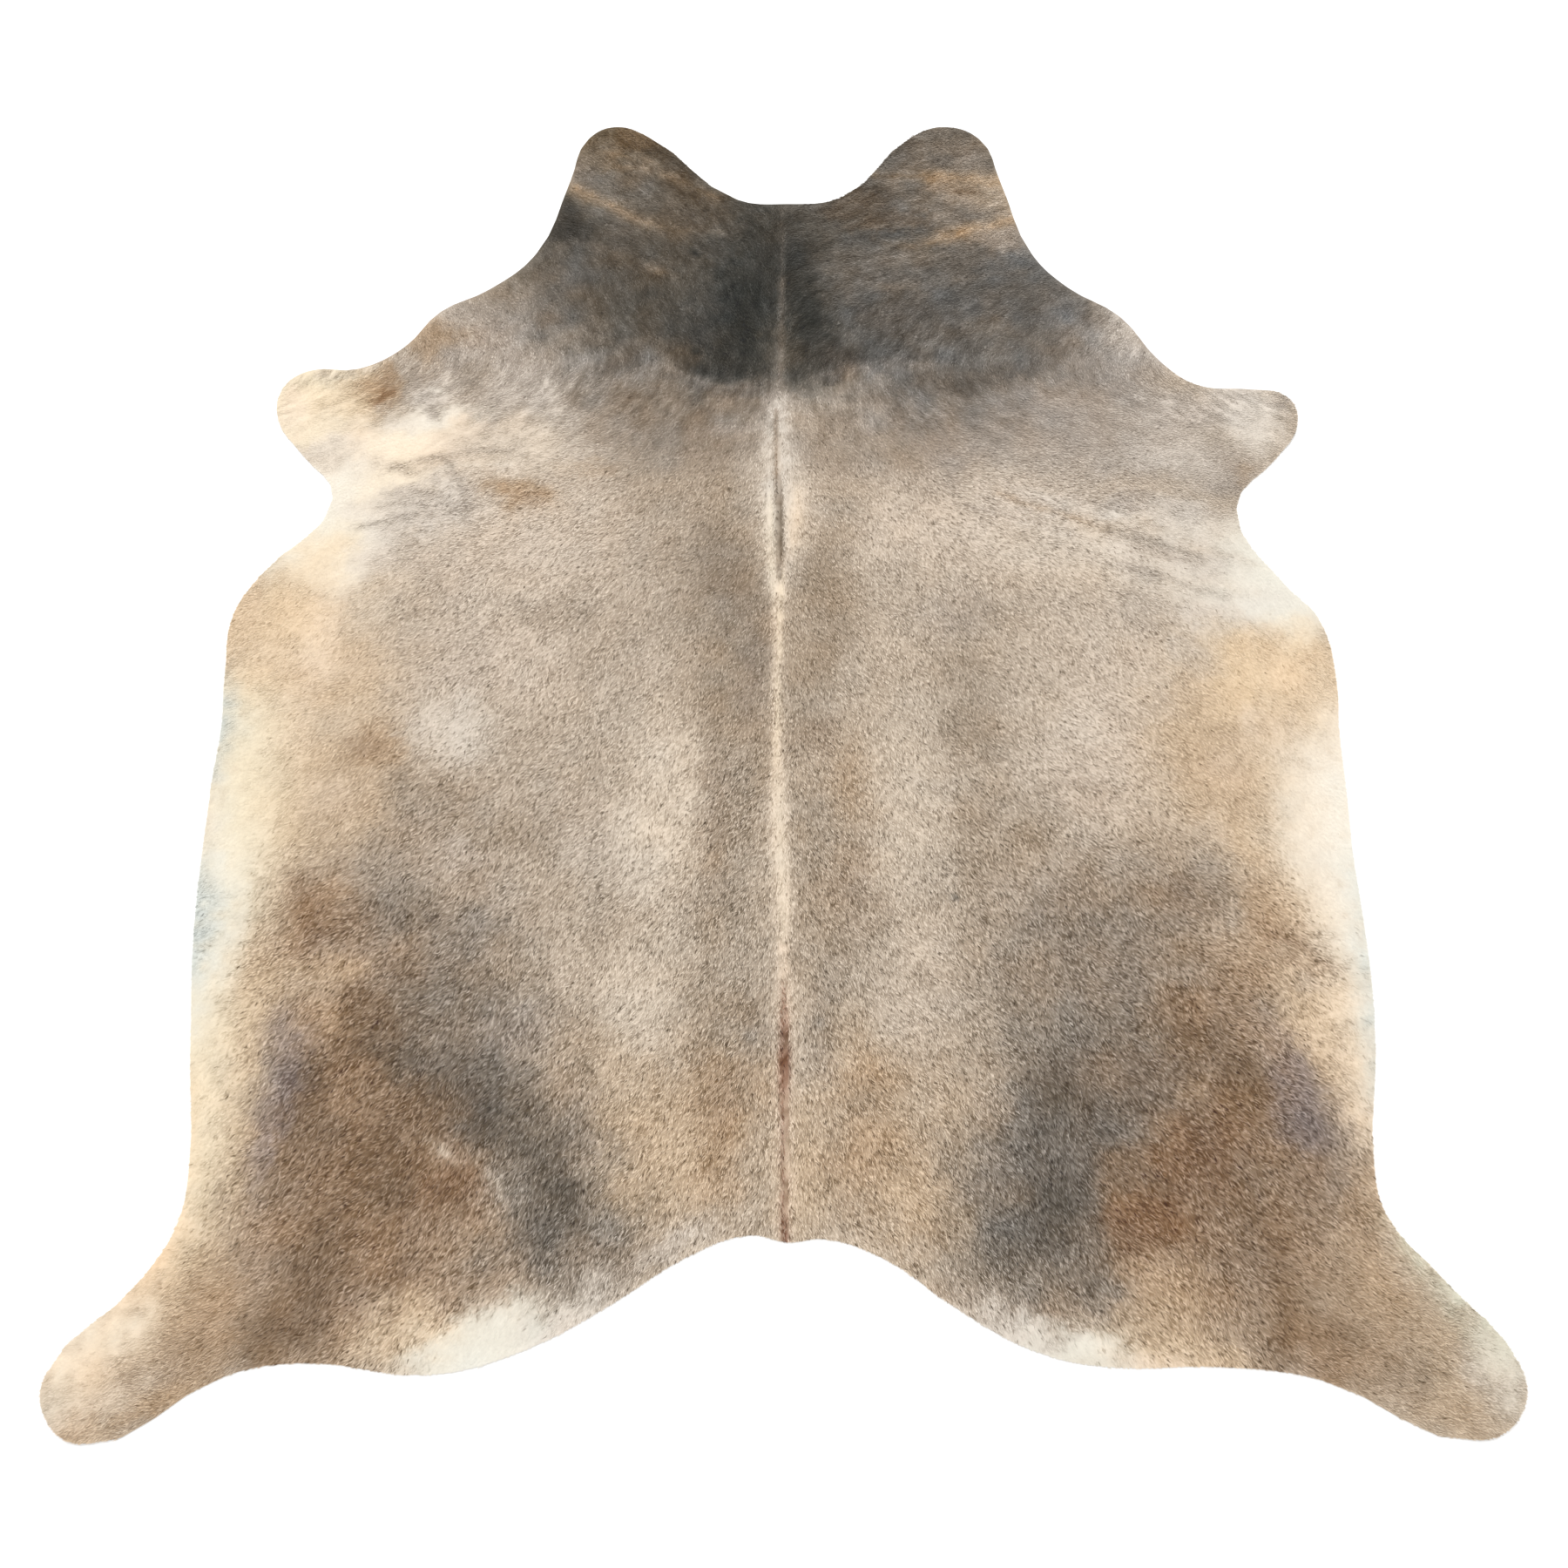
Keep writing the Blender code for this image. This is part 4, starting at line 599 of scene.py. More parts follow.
    ("pearl", 0.55, 0.004, (0.42, 0.33, 0.003), (0.52, 0.29, 0.004), (0.6, 0.262, 0.003)),
    ("pearl", 0.5, 0.004, (0.4, 0.262, 0.002), (0.52, 0.225, 0.003), (0.66, 0.18, 0.003)),
    ("linen", 0.55, 0.007, (0.64, 0.15, 0.004), (0.72, 0.15, 0.007), (0.79, 0.13, 0.001)),
    ("linen", 0.5, 0.006, (0.7, 0.215, 0.004), (0.76, 0.205, 0.005), (0.81, 0.18, 0.001)),
    ("linen", 0.45, 0.006, (-0.56, 0.46, 0.004), (-0.63, 0.455, 0.004), (-0.7, 0.445, 0.001)),
    ("frost", 0.4, 0.006, (-0.6, 0.35, 0.004), (-0.68, 0.33, 0.005), (-0.75, 0.305, 0.001)),
    # the brown birthmark on the left shoulder
    ("sand", 0.85, 0.007, (-0.51, 0.345, 0.01), (-0.455, 0.328, 0.024), (-0.415, 0.318, 0.016)),
    ("chestnut", 0.22, 0.008, (-0.49, 0.335, 0.008), (-0.43, 0.312, 0.014)),
    ("sand", 0.65, 0.006, (-0.468, 0.3, 0.014), (-0.466, 0.283, 0.006)),
    ("tan", 0.65, 0.003, (-0.495, 0.333, 0.001), (-0.46, 0.336, 0.003), (-0.425, 0.334, 0.001)),
    # the arcs by the right flank and the light marks on the thighs
    ("earth", 0.75, 0.005, (0.75, -0.455, 0.002), (0.79, -0.475, 0.005), (0.825, -0.51, 0.003)),
    ("earth", 0.55, 0.005, (0.73, -0.475, 0.002), (0.77, -0.49, 0.004), (0.8, -0.515, 0.002)),
    ("linen", 0.85, 0.004, (-0.515, -0.752, 0.003), (-0.49, -0.768, 0.006), (-0.468, -0.785, 0.002)),
    ("linen", 0.85, 0.004, (-0.426, -0.802, 0.003), (-0.413, -0.812, 0.005), (-0.402, -0.838, 0.001)),
    # scars where white hair has grown back
    ("ivory", 0.95, 0.0015, (-0.632, 0.543, 0.0005), (-0.617, 0.539, 0.0025), (-0.603, 0.535, 0.0005)),
    ("ivory", 0.6, 0.0015, (-0.612, 0.527, 0.0005), (-0.6, 0.524, 0.0015), (-0.592, 0.523, 0.0005)),
    ("ivory", 0.55, 0.002, (-0.57, 0.672, 0.001), (-0.562, 0.652, 0.002)),
    ("ivory", 0.55, 0.002, (0.566, 0.287, 0.002), (0.576, 0.283, 0.001)),
    # small dark spots
    ("coal", 1.1, 0.002, (-0.17, 0.847, 0.006), (-0.16, 0.842, 0.007)),
    ("coal", 0.9, 0.002, (-0.16, 0.622, 0.005), (-0.155, 0.618, 0.004)),
    ("smoke", 0.7, 0.0015, (0.263, -0.396, 0.004), (0.267, -0.398, 0.004)),
    ("stone", 0.7, 0.0035, (0.05, -0.588, 0.006), (0.052, -0.596, 0.005)),
    ("stone", 0.6, 0.0035, (-0.05, -0.61, 0.006), (-0.046, -0.616, 0.005)),
    ("stone", 0.4, 0.003, (-0.053, -0.54, 0.004), (-0.051, -0.545, 0.004)),
)

coatMake = {
    "background": "taupe",
    "usualShape": (0, 2.0),      # the turn and the crispness of a marking whose row has none
    # size and reach of the markings' uneven edges, and the same for the lines
    "wander": ((0.10, 0.018), (0.035, 0.013), (0.013, 0.008), (0.005, 0.005)),
    "ragged": ((0.040, 0.004), (0.012, 0.0020), (0.004, 0.0015)),
    "spineRagged": 0.3,          # share of that unevenness across the spine's own lines
    "patchy": (0.85, 0.35, 0.016),    # a line's usual strength, how much it varies and how finely
    "softer": (0.48, 0.26, 0.22),    # how much finer the hair is on flanks, shoulders and thighs
    "darkTone": 115.0,           # hair is dark up to this tone, of 255
    "lightTone": 185.0,          # and not at all from this one
    # size of the mottling with its strength on pale and on dark hair
    "mottle": ((0.045, 0.011, 0.040), (0.020, 0.011, 0.032), (0.010, 0.007, 0.015)),
    "softMottle": 1.8,           # how much more of its finer sizes shows in soft hair
    "rearMottle": 1.35,          # how much more of it all shows in the rear's light hair
    "palestCalm": 0.8,           # how much less shows in the palest hair
    "palestFrom": 194.0,
    "palestTo": 224.0,
    "speckle": (0.0041, 0.167),  # size and strength of the specks between tufts
    "speckleTurn": (0.8, 0.6),   # cosine and sine of the angle at which they lie
    "speckleSkew": (0.35, 0.2),  # how much stronger dark specks are, and a speck's mean square
    "rearSpeckle": 0.25,         # the speckle is this much stronger at the rump
    "darkSpeckle": 0.80,         # and again on the dark hair of the thighs
    "drawnSpeckle": 0.3,         # this much weaker where the hair shows long streaks
    "shoulderSpeckle": 0.45,     # and this much weaker on the shoulders
    "neckMottle": 0.128,         # streaky mottling on the neck and shoulders
    "neckBlotch": (0.4, 0.028),  # the share and the size of the round blotches in it
    "streak": 0.010,             # marks drawn out along the hair, on the back
    "streakLong": 0.071,         # and on the neck, shoulders and legs
    "streakNeck": 0.8,           # and how much more of that on the neck
    "streakUneven": (0.7, 0.6, 0.030),    # their usual strength, how much it varies and how finely
    "streakCalm": 0.8,           # how far pale hair calms them
    "streakStep": 0.005,         # each streak is the sum of five places this far apart
    "streakEven": 2.2,           # which is brought back to the strength of one
    "streakFine": 0.0042,
    "streakBroad": 0.0062,
    "warmth": 0.006,             # wander between warmer and cooler hair
    "darkWarmth": 0.018,
    "neckWarmth": 0.010,
    "calmFrom": 178.0,           # pale hair shows less speckle and streaks, from this tone
    "calmTo": 222.0,
    "calm": 0.96,
    "gain": 0.872,               # so that the coat looks like the palette under the scene's light
    "lift": 0.017,               # and what its gloss adds
    "darkest": 0.003,
}

# Where parts of the coat begin: nothing of a part lies before its first place, and past its
# second place all does
zones = {
    # toward the neck
    "flankEnd": (-0.50, -0.22),
    "frontLegs": (0.05, 0.20),
    "forelegs": (0.28, 0.44),
    "shoulders": (0.30, 0.42),
    "neck": (0.34, 0.52),
    "armpits": (0.36, 0.48),
    "longHair": (0.45, 0.60),
    "neckTurn": (0.50, 0.68),
    "neckFoot": (0.54, 0.64),
    "rightNeckLean": (0.68, 0.85),
    "leftNeckLean": (0.80, 0.95),
    # toward the tail
    "wholeBack": (-0.35, 0.55),
    "rearHalf": (0.0, 0.3),
    "rump": (0.15, 0.50),
    "thighs": (0.45, 0.65),
    "hindLegs": (0.85, 1.00),
    "hindFeet": (0.85, 1.02),
    # out from the spine
    "besideSpine": (0.02, 0.06),
    "innerSide": (0.10, 0.55),
    "shoulderSides": (0.22, 0.50),
    "foreSides": (0.45, 0.65),
    "flanks": (0.52, 0.74),
    "legSides": (0.60, 0.75),
    "footSides": (0.62, 0.85),
    "thighSides": (0.66, 0.80),
}

# How the hair lies, as steps outward for each step toward the tail
flowMake = {
    "spine": 0.04,               # the two sides part over this distance
    "outward": (0.30, 0.75),     # at the spine, and how much more for each metre out from it
    "armpit": (1.7, 0.38, 0.17),    # how much more by the armpits, where along and how far around
    "hindLeg": 1.1,
    "leftNeck": (0.45, 0.5),     # on the neck it lies inward, and further up more so
    "rightNeck": (0.90, 1.5),
    "wander": 0.16,              # in radians
}


def toLinear(colour):
    # from a display's colour to the light it gives
    c = np.clip(np.asarray(colour, dtype=float) / 255.0, 0.0, 1.0)
    return np.where(c <= 0.04045, c / 12.92, ((c + 0.055) / 1.055) ** 2.4)


def smoothStep(value, low, high):
    t = np.clip((value - low) / (high - low), 0.0, 1.0)
    return t * t * (3.0 - 2.0 * t)


def zone(name, place):
    return smoothStep(place, *zones[name])


def softEdge(inside, strength=1.0):
    # all of the strength well inside, half of it on the edge and none well outside
    return strength / (1.0 + np.exp(np.clip(-inside, -40.0, 40.0)))


def readGrid(grid, i, j, fu, fv):
    # the value between four knots of a grid that repeats itself
    wide, deep = grid.shape
    i, j, nextI, nextJ = i % wide, j % deep, (i + 1) % wide, (j + 1) % deep
    low = grid[i, j] * (1.0 - fu) + grid[nextI, j] * fu
    high = grid[i, nextJ] * (1.0 - fu) + grid[nextI, nextJ] * fu
    return low * (1.0 - fv) + high * fv


clouds = {}


def cloud(x, y, size, seed):
    # soft noise from -1 to 1 whose blobs are about this size. Every use has a seed of its own.
    if seed not in clouds:
        clouds[seed] = np.random.default_rng(seed).random((256, 256)) * 2.0 - 1.0
    u, v = x / size + 900.5, y / size + 900.5
    i, j = np.floor(u).astype(int), np.floor(v).astype(int)
    fu, fv = u - i, v - j
    fu, fv = fu * fu * (3.0 - 2.0 * fu), fv * fv * (3.0 - 2.0 * fv)
    return readGrid(clouds[seed], i, j, fu, fv)


def lineMask(x, y, places, soft):
    # how far inside a line with a changing half width each place is, from 0 to 1
    inside = np.full(len(x), -1.0)
    for (ax, ay, aw), (bx, by, bw) in zip(places[:-1], places[1:]):
        dx, dy = bx - ax, by - ay
        t = np.clip(((x - ax) * dx + (y - ay) * dy) / (dx * dx + dy * dy), 0.0, 1.0)
        far = np.hypot(x - ax - t * dx, y - ay - t * dy)
        inside = np.maximum(inside, aw + t * (bw - aw) - far)
    return softEdge(inside / soft)


def flowAt(x, y):
    # which way the hair lies: to the tail along the spine, and out to the belly and down the legs
    side = np.tanh(x / flowMake["spine"])
    out = np.abs(x)
    atSpine, perMetre = flowMake["outward"]
    outward = atSpine + perMetre * out
    more, middle, reach = flowMake["armpit"]
    outward += more * np.exp(-((y - middle) / reach) ** 2) * zone("innerSide", out)
    outward += flowMake["hindLeg"] * zone("hindFeet", -y) * zone("footSides", out)
    # on the neck it closes on the spine
    (left, leftMore), (right, rightMore) = flowMake["leftNeck"], flowMake["rightNeck"]
    leftward = left + leftMore * zone("leftNeckLean", y)
    inward = np.where(x < 0.0, leftward, right + rightMore * zone("rightNeckLean", y))
    outward -= (outward + inward) * zone("neckTurn", y)
    angle = np.arctan2(-1.0, side * outward)
    angle += flowMake["wander"] * cloud(x, y, 0.09, 31) + flowMake["wander"] * cloud(x, y, 0.03, 32)
    return np.cos(angle), np.sin(angle)


def softSides(x, y):
    # the hair is finest on the flanks, by the forelegs and on the shoulders' sides
    out = np.abs(x)
    flank = zone("flanks", out) * zone("flankEnd", y) * (1.0 - zone("armpits", y))
    shoulder = zone("shoulderSides", out) * zone("armpits", y)
    hind = zone("thighSides", out) * zone("thighs", -y)
    onFlank, onShoulder, onThigh = coatMake["softer"]
    return 1.0 - onFlank * flank - onShoulder * shoulder - onThigh * hind


def hindLegs(x, y):
    return zone("hindLegs", -y) * zone("legSides", np.abs(x))


def blend(colour, name, mask):
    colour += (np.array(palette[name], dtype=float) - colour) * mask[:, None]


def markingsAt(x, y):
    # the coat's colour from its markings and lines alone, among them painted shadow, shade, sheen and
    # highlight
    wx, wy = x.copy(), y.copy()
    for k, (size, reach) in enumerate(coatMake["wander"]):
        wx += reach * cloud(x, y, size, 100 + k)
        wy += reach * cloud(x, y, size, 110 + k)
    colour = np.tile(np.array(palette[coatMake["background"]], dtype=float), (len(x), 1))
    for name, across, along, reachAcross, reachAlong, strength, *shape in patches:
        turn, crisp = (*shape, *coatMake["usualShape"][len(shape):])
        c, s = cos(radians(turn)), sin(radians(turn))
        dx, dy = wx - across, wy - along
        far = np.hypot((dx * c + dy * s) / reachAcross, (dy * c - dx * s) / reachAlong)
        blend(colour, name, softEdge(crisp * (1.0 - far) * 2.0, strength))
    lx, ly = x.copy(), y.copy()
    spineRagged = coatMake["spineRagged"]
    steady = spineRagged + (1.0 - spineRagged) * zone("besideSpine", np.abs(x))
    for k, (size, reach) in enumerate(coatMake["ragged"]):
        lx += reach * steady * cloud(x, y, size, 120 + k)
        ly += reach * cloud(x, y, size, 125 + k)
    usual, vary, size = coatMake["patchy"]
    patchy = usual + vary * cloud(x, y, size, 124)
    for name, strength, soft, *places in strokes:
        blend(colour, name, np.minimum(strength * patchy, 1.0) * lineMask(lx, ly, places, soft))
    return colour


def streaksAt(x, y, size, seed):
    # soft noise drawn out along the hair
    fx, fy = flowAt(x, y)
    step = coatMake["streakStep"]
    drawn = sum(cloud(x + k * step * fx, y + k * step * fy, size, seed) for k in (-2, -1, 0, 1, 2))
    return drawn / coatMake["streakEven"]


def specksAt(x, y):
    # evenly spread specks: soft noise less the mean of its four neighbours
    size = coatMake["speckle"][0]
    c, s = coatMake["speckleTurn"]
    tx, ty = c * x + s * y, c * y - s * x
    sides = ((1, 0), (-1, 0), (0, 1), (0, -1))
    around = sum(cloud(tx + i * size, ty + j * size, size, 150) for i, j in sides)
    speck = cloud(tx, ty, size, 150) - 0.25 * around
    skew, usualSquare = coatMake["speckleSkew"]
    return speck - skew * (speck ** 2 - usualSquare)


def shadeAt(x, y, level):
    # how much lighter, and how much warmer, the hair is than its marking of this tone
    out = np.abs(x)
    dark = 1.0 - smoothStep(level, coatMake["darkTone"], coatMake["lightTone"])
    neck = zone("neck", y)
    drawn = zone("longHair", y) + zone("foreSides", out) * zone("frontLegs", y)
    drawn = np.minimum(drawn + hindLegs(x, y), 1.0)
    soft = softSides(x, y)
    shade = np.zeros(len(x))
    for k, (size, onPale, onDark) in enumerate(coatMake["mottle"]):
        finer = 1.0 + coatMake["softMottle"] * (1.0 - soft) if k else 1.0
        shade += (onPale + (onDark - onPale) * dark) * finer * cloud(x, y, size, 130 + k)
    calm = coatMake["calm"] * smoothStep(level, coatMake["calmFrom"], coatMake["calmTo"])
    shade *= 1.0 + coatMake["rearMottle"] * zone("rump", -y) * (1.0 - dark)
    palest = smoothStep(level, coatMake["palestFrom"], coatMake["palestTo"])
    shade *= 1.0 - coatMake["palestCalm"] * palest
    more = coatMake["rearSpeckle"] * zone("wholeBack", -y)
    more += coatMake["darkSpeckle"] * dark * zone("rearHalf", -y)
    more = (1.0 + (1.0 - drawn) * more) * (1.0 - coatMake["drawnSpeckle"] * drawn)
    more *= 1.0 - coatMake["shoulderSpeckle"] * zone("shoulders", y) * (1.0 - zone("neckFoot", y))
    shade += coatMake["speckle"][1] * more * soft * (1.0 - calm) * specksAt(x, y)
    usual, vary, size = coatMake["streakUneven"]
    drawing = coatMake["streak"] + coatMake["streakLong"] * drawn * (1.0 + coatMake["streakNeck"] * neck)
    drawing *= usual + vary * cloud(x, y, size, 142)
    drawing *= streaksAt(x, y, coatMake["streakFine"], 140)
    broad = streaksAt(x, y, coatMake["streakBroad"], 143)
    share, size = coatMake["neckBlotch"]
    drawing += coatMake["neckMottle"] * neck * (broad + share * cloud(x, y, size, 145))
    shade += drawing * soft ** 2 * (1.0 - coatMake["streakCalm"] * calm)
    warmer = (coatMake["darkWarmth"] + coatMake["neckWarmth"] * neck) * dark
    warmth = (coatMake["warmth"] + warmer) * cloud(x, y, 0.045, 141)
    return shade, warmth + 0.5 * warmer * cloud(x, y, 0.018, 144)


def coatColour(x, y):
    colour = markingsAt(x, y)
    level = colour.mean(axis=1)
    shade, warmth = shadeAt(x, y, level)
    # light and dark hairs differ in grey alone
    colour += level[:, None] * np.stack([shade + warmth, shade, shade - warmth], axis=1)
    return np.maximum(toLinear(colour) * coatMake["gain"] - coatMake["lift"], coatMake["darkest"])


def paleShare(tint):
    return smoothStep(tint.mean(axis=1), hairMake["paleFrom"], hairMake["paleTo"])


def rimOf(node):
    # the lower rim of the solid, in order round the rug
    bm = bmesh.new()
    bm.from_mesh(node.data)
    bmesh.ops.remove_doubles(bm, verts=bm.verts, dist=0.0001)
    neighbours = {}
    for edge in bm.edges:
        ups = sorted(face.normal.z for face in edge.link_faces)
        if len(ups) == 2 and ups[0] < -0.5 < ups[1] < 0.5:
            a, b = edge.verts
            neighbours.setdefault(a.index, []).append(b.index)
            neighbours.setdefault(b.index, []).append(a.index)
    bm.verts.ensure_lookup_table()
    start = min(neighbours)
    loop, here, before = [start], neighbours[start][0], start
    while here != start:
        loop.append(here)
        here, before = [n for n in neighbours[here] if n != before][0], here
    rim = np.array([bm.verts[i].co.xy[:] for i in loop])
    bm.free()
    return rim


rim = rimOf(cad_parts["hide"])
rimLow, rimHigh = rim.min(axis=0), rim.max(axis=0)
print("rim has", len(rim), "points")

# How far inside the rim each place is, kept on a fine net and read between its knots
netStep = 0.005
netMargin = 0.04
netLow = rimLow - netMargin
netCount = np.ceil((rimHigh + netMargin - netLow) / netStep).astype(int) + 1


def measureNet():
    gx, gy = np.meshgrid(
        netLow[0] + netStep * np.arange(netCount[0]),
        netLow[1] + netStep * np.arange(netCount[1]),
        indexing="ij",
    )
    nearest = np.full(gx.shape, 9.0)
    crossings = np.zeros(gx.shape, dtype=bool)
    for (ax, ay), (bx, by) in zip(rim, np.roll(rim, -1, axis=0)):
        dx, dy = bx - ax, by - ay
        t = np.clip(((gx - ax) * dx + (gy - ay) * dy) / (dx * dx + dy * dy), 0.0, 1.0)
        nearest = np.minimum(nearest, (gx - ax - t * dx) ** 2 + (gy - ay - t * dy) ** 2)
        if ay != by:
            between = (gy < ay) != (gy < by)
            crossings ^= between & (gx < ax + (gy - ay) * dx / dy)
    return np.where(crossings, 1.0, -1.0) * np.sqrt(nearest)


net = measureNet()
print("distance net measured")


def insideBy(x, y):
    u = np.clip((x - netLow[0]) / netStep, 0.0, netCount[0] - 1.001)
    v = np.clip((y - netLow[1]) / netStep, 0.0, netCount[1] - 1.001)
    i, j = u.astype(int), v.astype(int)
    return readGrid(net, i, j, u - i, v - j)


def undersideAt(x, y):
    # how high the underside of the leather stands off the floor
    rise = np.zeros(len(x))
    for _, across, along, reachAcross, reachAlong, height in folds:
        near = 1.0 - ((x - across) / reachAcross) ** 2 - ((y - along) / reachAlong) ** 2
        rise = np.maximum(rise, height * np.maximum(near, 0.0) ** 2)
    wave = 0.5
    for k, (size, share) in enumerate(skinMake["waves"]):
        wave = wave + share * cloud(x, y, size, 51 + k)
    fade = smoothStep(insideBy(x, y), 0.0, skinMake["waveFade"])
    rise += skinMake["waveHeight"] * smoothStep(wave, 0.25, 1.0) * fade
    soft = skinMake["wrinkleHalfWidth"] * skinMake["wrinkleSoft"]
    for places in wrinkles:
        line = tuple((across, along, soft) for across, along in places)
        rise += skinMake["wrinkleHeight"] * lineMask(x, y, line, soft)
    return rise


def creaseAt(x, y):
    depth = np.zeros(len(x))
    for _, across, tailEnd, neckEnd in creases:
        aside = np.abs(x - across) / skinMake["creaseHalfWidth"]
        ends = np.minimum(y - tailEnd, neckEnd - y) / skinMake["creaseFade"]
        depth += np.maximum(0.0, 1.0 - aside) * np.clip(ends, 0.0, 1.0)
    return depth


def leatherAt(x, y):
    # the upper side of the leather, where the hair grows
    return undersideAt(x, y) + skinMake["leather"] - skinMake["creaseDepth"] * creaseAt(x, y)


def slopeOf(height, x, y, near):
    # how fast a height changes across and along
    across = (height(x + near, y) - height(x - near, y)) / (2.0 * near)
    along = (height(x, y + near) - height(x, y - near)) / (2.0 * near)
    return across, along


class Term:
    # a socket that can be used in an expression: each operation adds its Math node
    def __init__(self, finish, socket):
        self.finish = finish
        self.socket = socket

    def math(self, operation, other):
        return self.finish.node("ShaderNodeMath", {"operation": operation}, {0: self, 1: other})

    def __add__(self, other):
        return self.math("ADD", other)

    def __sub__(self, other):
        return self.math("SUBTRACT", other)

    def __mul__(self, other):
        return self.math("MULTIPLY", other)


class Finish:
    # a material whose nodes are added one by one
    def __init__(self, name):
        self.material = bpy.data.materials.new(name)
        self.material.use_nodes = True
        self.tree = self.material.node_tree
        self.shader = self.tree.nodes["Principled BSDF"]

    def node(self, kind, settings=None, inputs=None, output=0):
        made = self.tree.nodes.new(kind)
        for key, value in (settings or {}).items():
            setattr(made, key, value)
        for key, value in (inputs or {}).items():
            self.feed(made.inputs[key], value)
        return Term(self, made.outputs[output])

    def feed(self, socket, value):
        if isinstance(value, Term):
            self.tree.links.new(value.socket, socket)
        else:
            socket.default_value = value

    def set(self, **inputs):
        for key, value in inputs.items():
            self.feed(self.shader.inputs[key.replace("_", " ")], value)

    def shadeColour(self, colour, factor):
        # a colour made lighter or darker by a factor
        return self.node("ShaderNodeVectorMath", {"operation": "SCALE"}, {0: colour, "Scale": factor})

    def coatTintAndPaintedShading(self):
        # the coat's colour, with painted shade at the roots and painted light at the tips, and how lively
        # it is: 1 on dark hair and 0 on pale hair
        settings = {"attribute_name": "coatTintAndPaintedShading"}
        tint = self.node("ShaderNodeAttribute", settings)
        return tint, self.node("ShaderNodeAttribute", settings, output=3)

    def noise(self, place, scale, detail):
        inputs = {"Vector": place, "Scale": scale, "Detail": detail}
        return self.node("ShaderNodeTexNoise", None, inputs)

    def bump(self, height, distance, strength):
        inputs = {"Height": height, "Distance": distance, "Strength": strength}
        return self.node("ShaderNodeBump", None, inputs)


def hairFinish():
    f = Finish("shortHair")
    tint, lively = f.coatTintAndPaintedShading()
    strand = f.node("ShaderNodeUVMap", {"uv_map": "strand"})
    stretched = f.node("ShaderNodeMapping", None, {"Vector": strand, "Scale": (9.0, 1.6, 1.0)})
    streaks = f.noise(stretched, 1.0, 2.0)
    f.set(
        Base_Color=f.shadeColour(tint, (streaks - 0.5) * (lively * 0.3 + 0.05) + 1.0),
        Roughness=streaks * 0.25 + 0.45,
        Normal=f.bump(streaks * lively, 0.0003, 0.5),
        Sheen_Weight=0.12,
        Sheen_Roughness=0.5,
        Specular_IOR_Level=0.25,
    )
    return f.material


def skinFinish():
    f = Finish("hairRoots")
    tint, lively = f.coatTintAndPaintedShading()
    place = f.node("ShaderNodeTexCoord", output=3)
    fine = f.noise(place, 520.0, 3.0)
    f.set(
        # and a further step darker here: painted shade between the locks
        Base_Color=f.shadeColour(tint, (fine - 0.5) * (lively * 0.5 + 0.1) + 0.83),
        Roughness=fine * 0.2 + 0.55,
        Normal=f.bump(fine * (lively * 0.85 + 0.15), 0.0010, 0.6),
        Specular_IOR_Level=0.2,
    )
    return f.material


def suedeFinish():
    f = Finish("suedeUnderside")
    place = f.node("ShaderNodeTexCoord", output=3)
    nap = f.noise(place, 900.0, 4.0)
    broad = f.noise(place, 9.0, 3.0)
    mixed = f.node(
        "ShaderNodeMix",
        {"data_type": "RGBA"},
        {0: broad, 6: (0.60, 0.52, 0.42, 1.0), 7: (0.72, 0.66, 0.57, 1.0)},
        output=2,
    )
    f.set(
        Base_Color=f.shadeColour(mixed, nap * 0.4 + 0.8),
        Roughness=nap * 0.1 + 0.85,
        Normal=f.bump(nap, 0.0004, 0.7),
        Sheen_Weight=0.2,
        Specular_IOR_Level=0.2,
    )
    return f.material


def addObject(name, data):
    made = bpy.data.objects.new(name, data)
    bpy.context.scene.collection.objects.link(made)
    return made


def readValues(items, key, each=1, kind=float):
    # a value of every vertex, edge, loop or face, in rows of this many numbers
    values = np.empty(len(items) * each, dtype=kind)
    items.foreach_get(key, values)
    return values.reshape(-1, each) if each > 1 else values


def addMap(mesh, name, u, v):
    layer = mesh.uv_layers.new(name=name)
    corners = readValues(mesh.loops, "vertex_index", kind=np.int64)
    places = np.stack([u[corners], v[corners]], axis=1)
    layer.data.foreach_set("uv", places.astype(np.float32).ravel())


def tintMesh(mesh, colours, pale):
    layer = mesh.color_attributes.new("coatTintAndPaintedShading", "FLOAT_COLOR", "POINT")
    layer.data.foreach_set("color", np.concatenate([colours, 1.0 - pale[:, None]], axis=1).ravel())


def cutOutside(mesh, inside):
    # the cells outside the rim are cut away
    corners = readValues(mesh.loops, "vertex_index", kind=np.int64).reshape(-1, 4)
    outer = inside[corners].max(axis=1) < skinMake["cutShare"] * skinMake["cell"]
    for kind in (mesh.vertices, mesh.edges):
        kind.foreach_set("select", np.zeros(len(kind), dtype=bool))
    mesh.polygons.foreach_set("select", outer)
    bpy.ops.object.mode_set(mode="EDIT")
    bpy.ops.mesh.select_mode(type="FACE")
    bpy.ops.mesh.delete(type="FACE")
    bpy.ops.object.mode_set(mode="OBJECT")


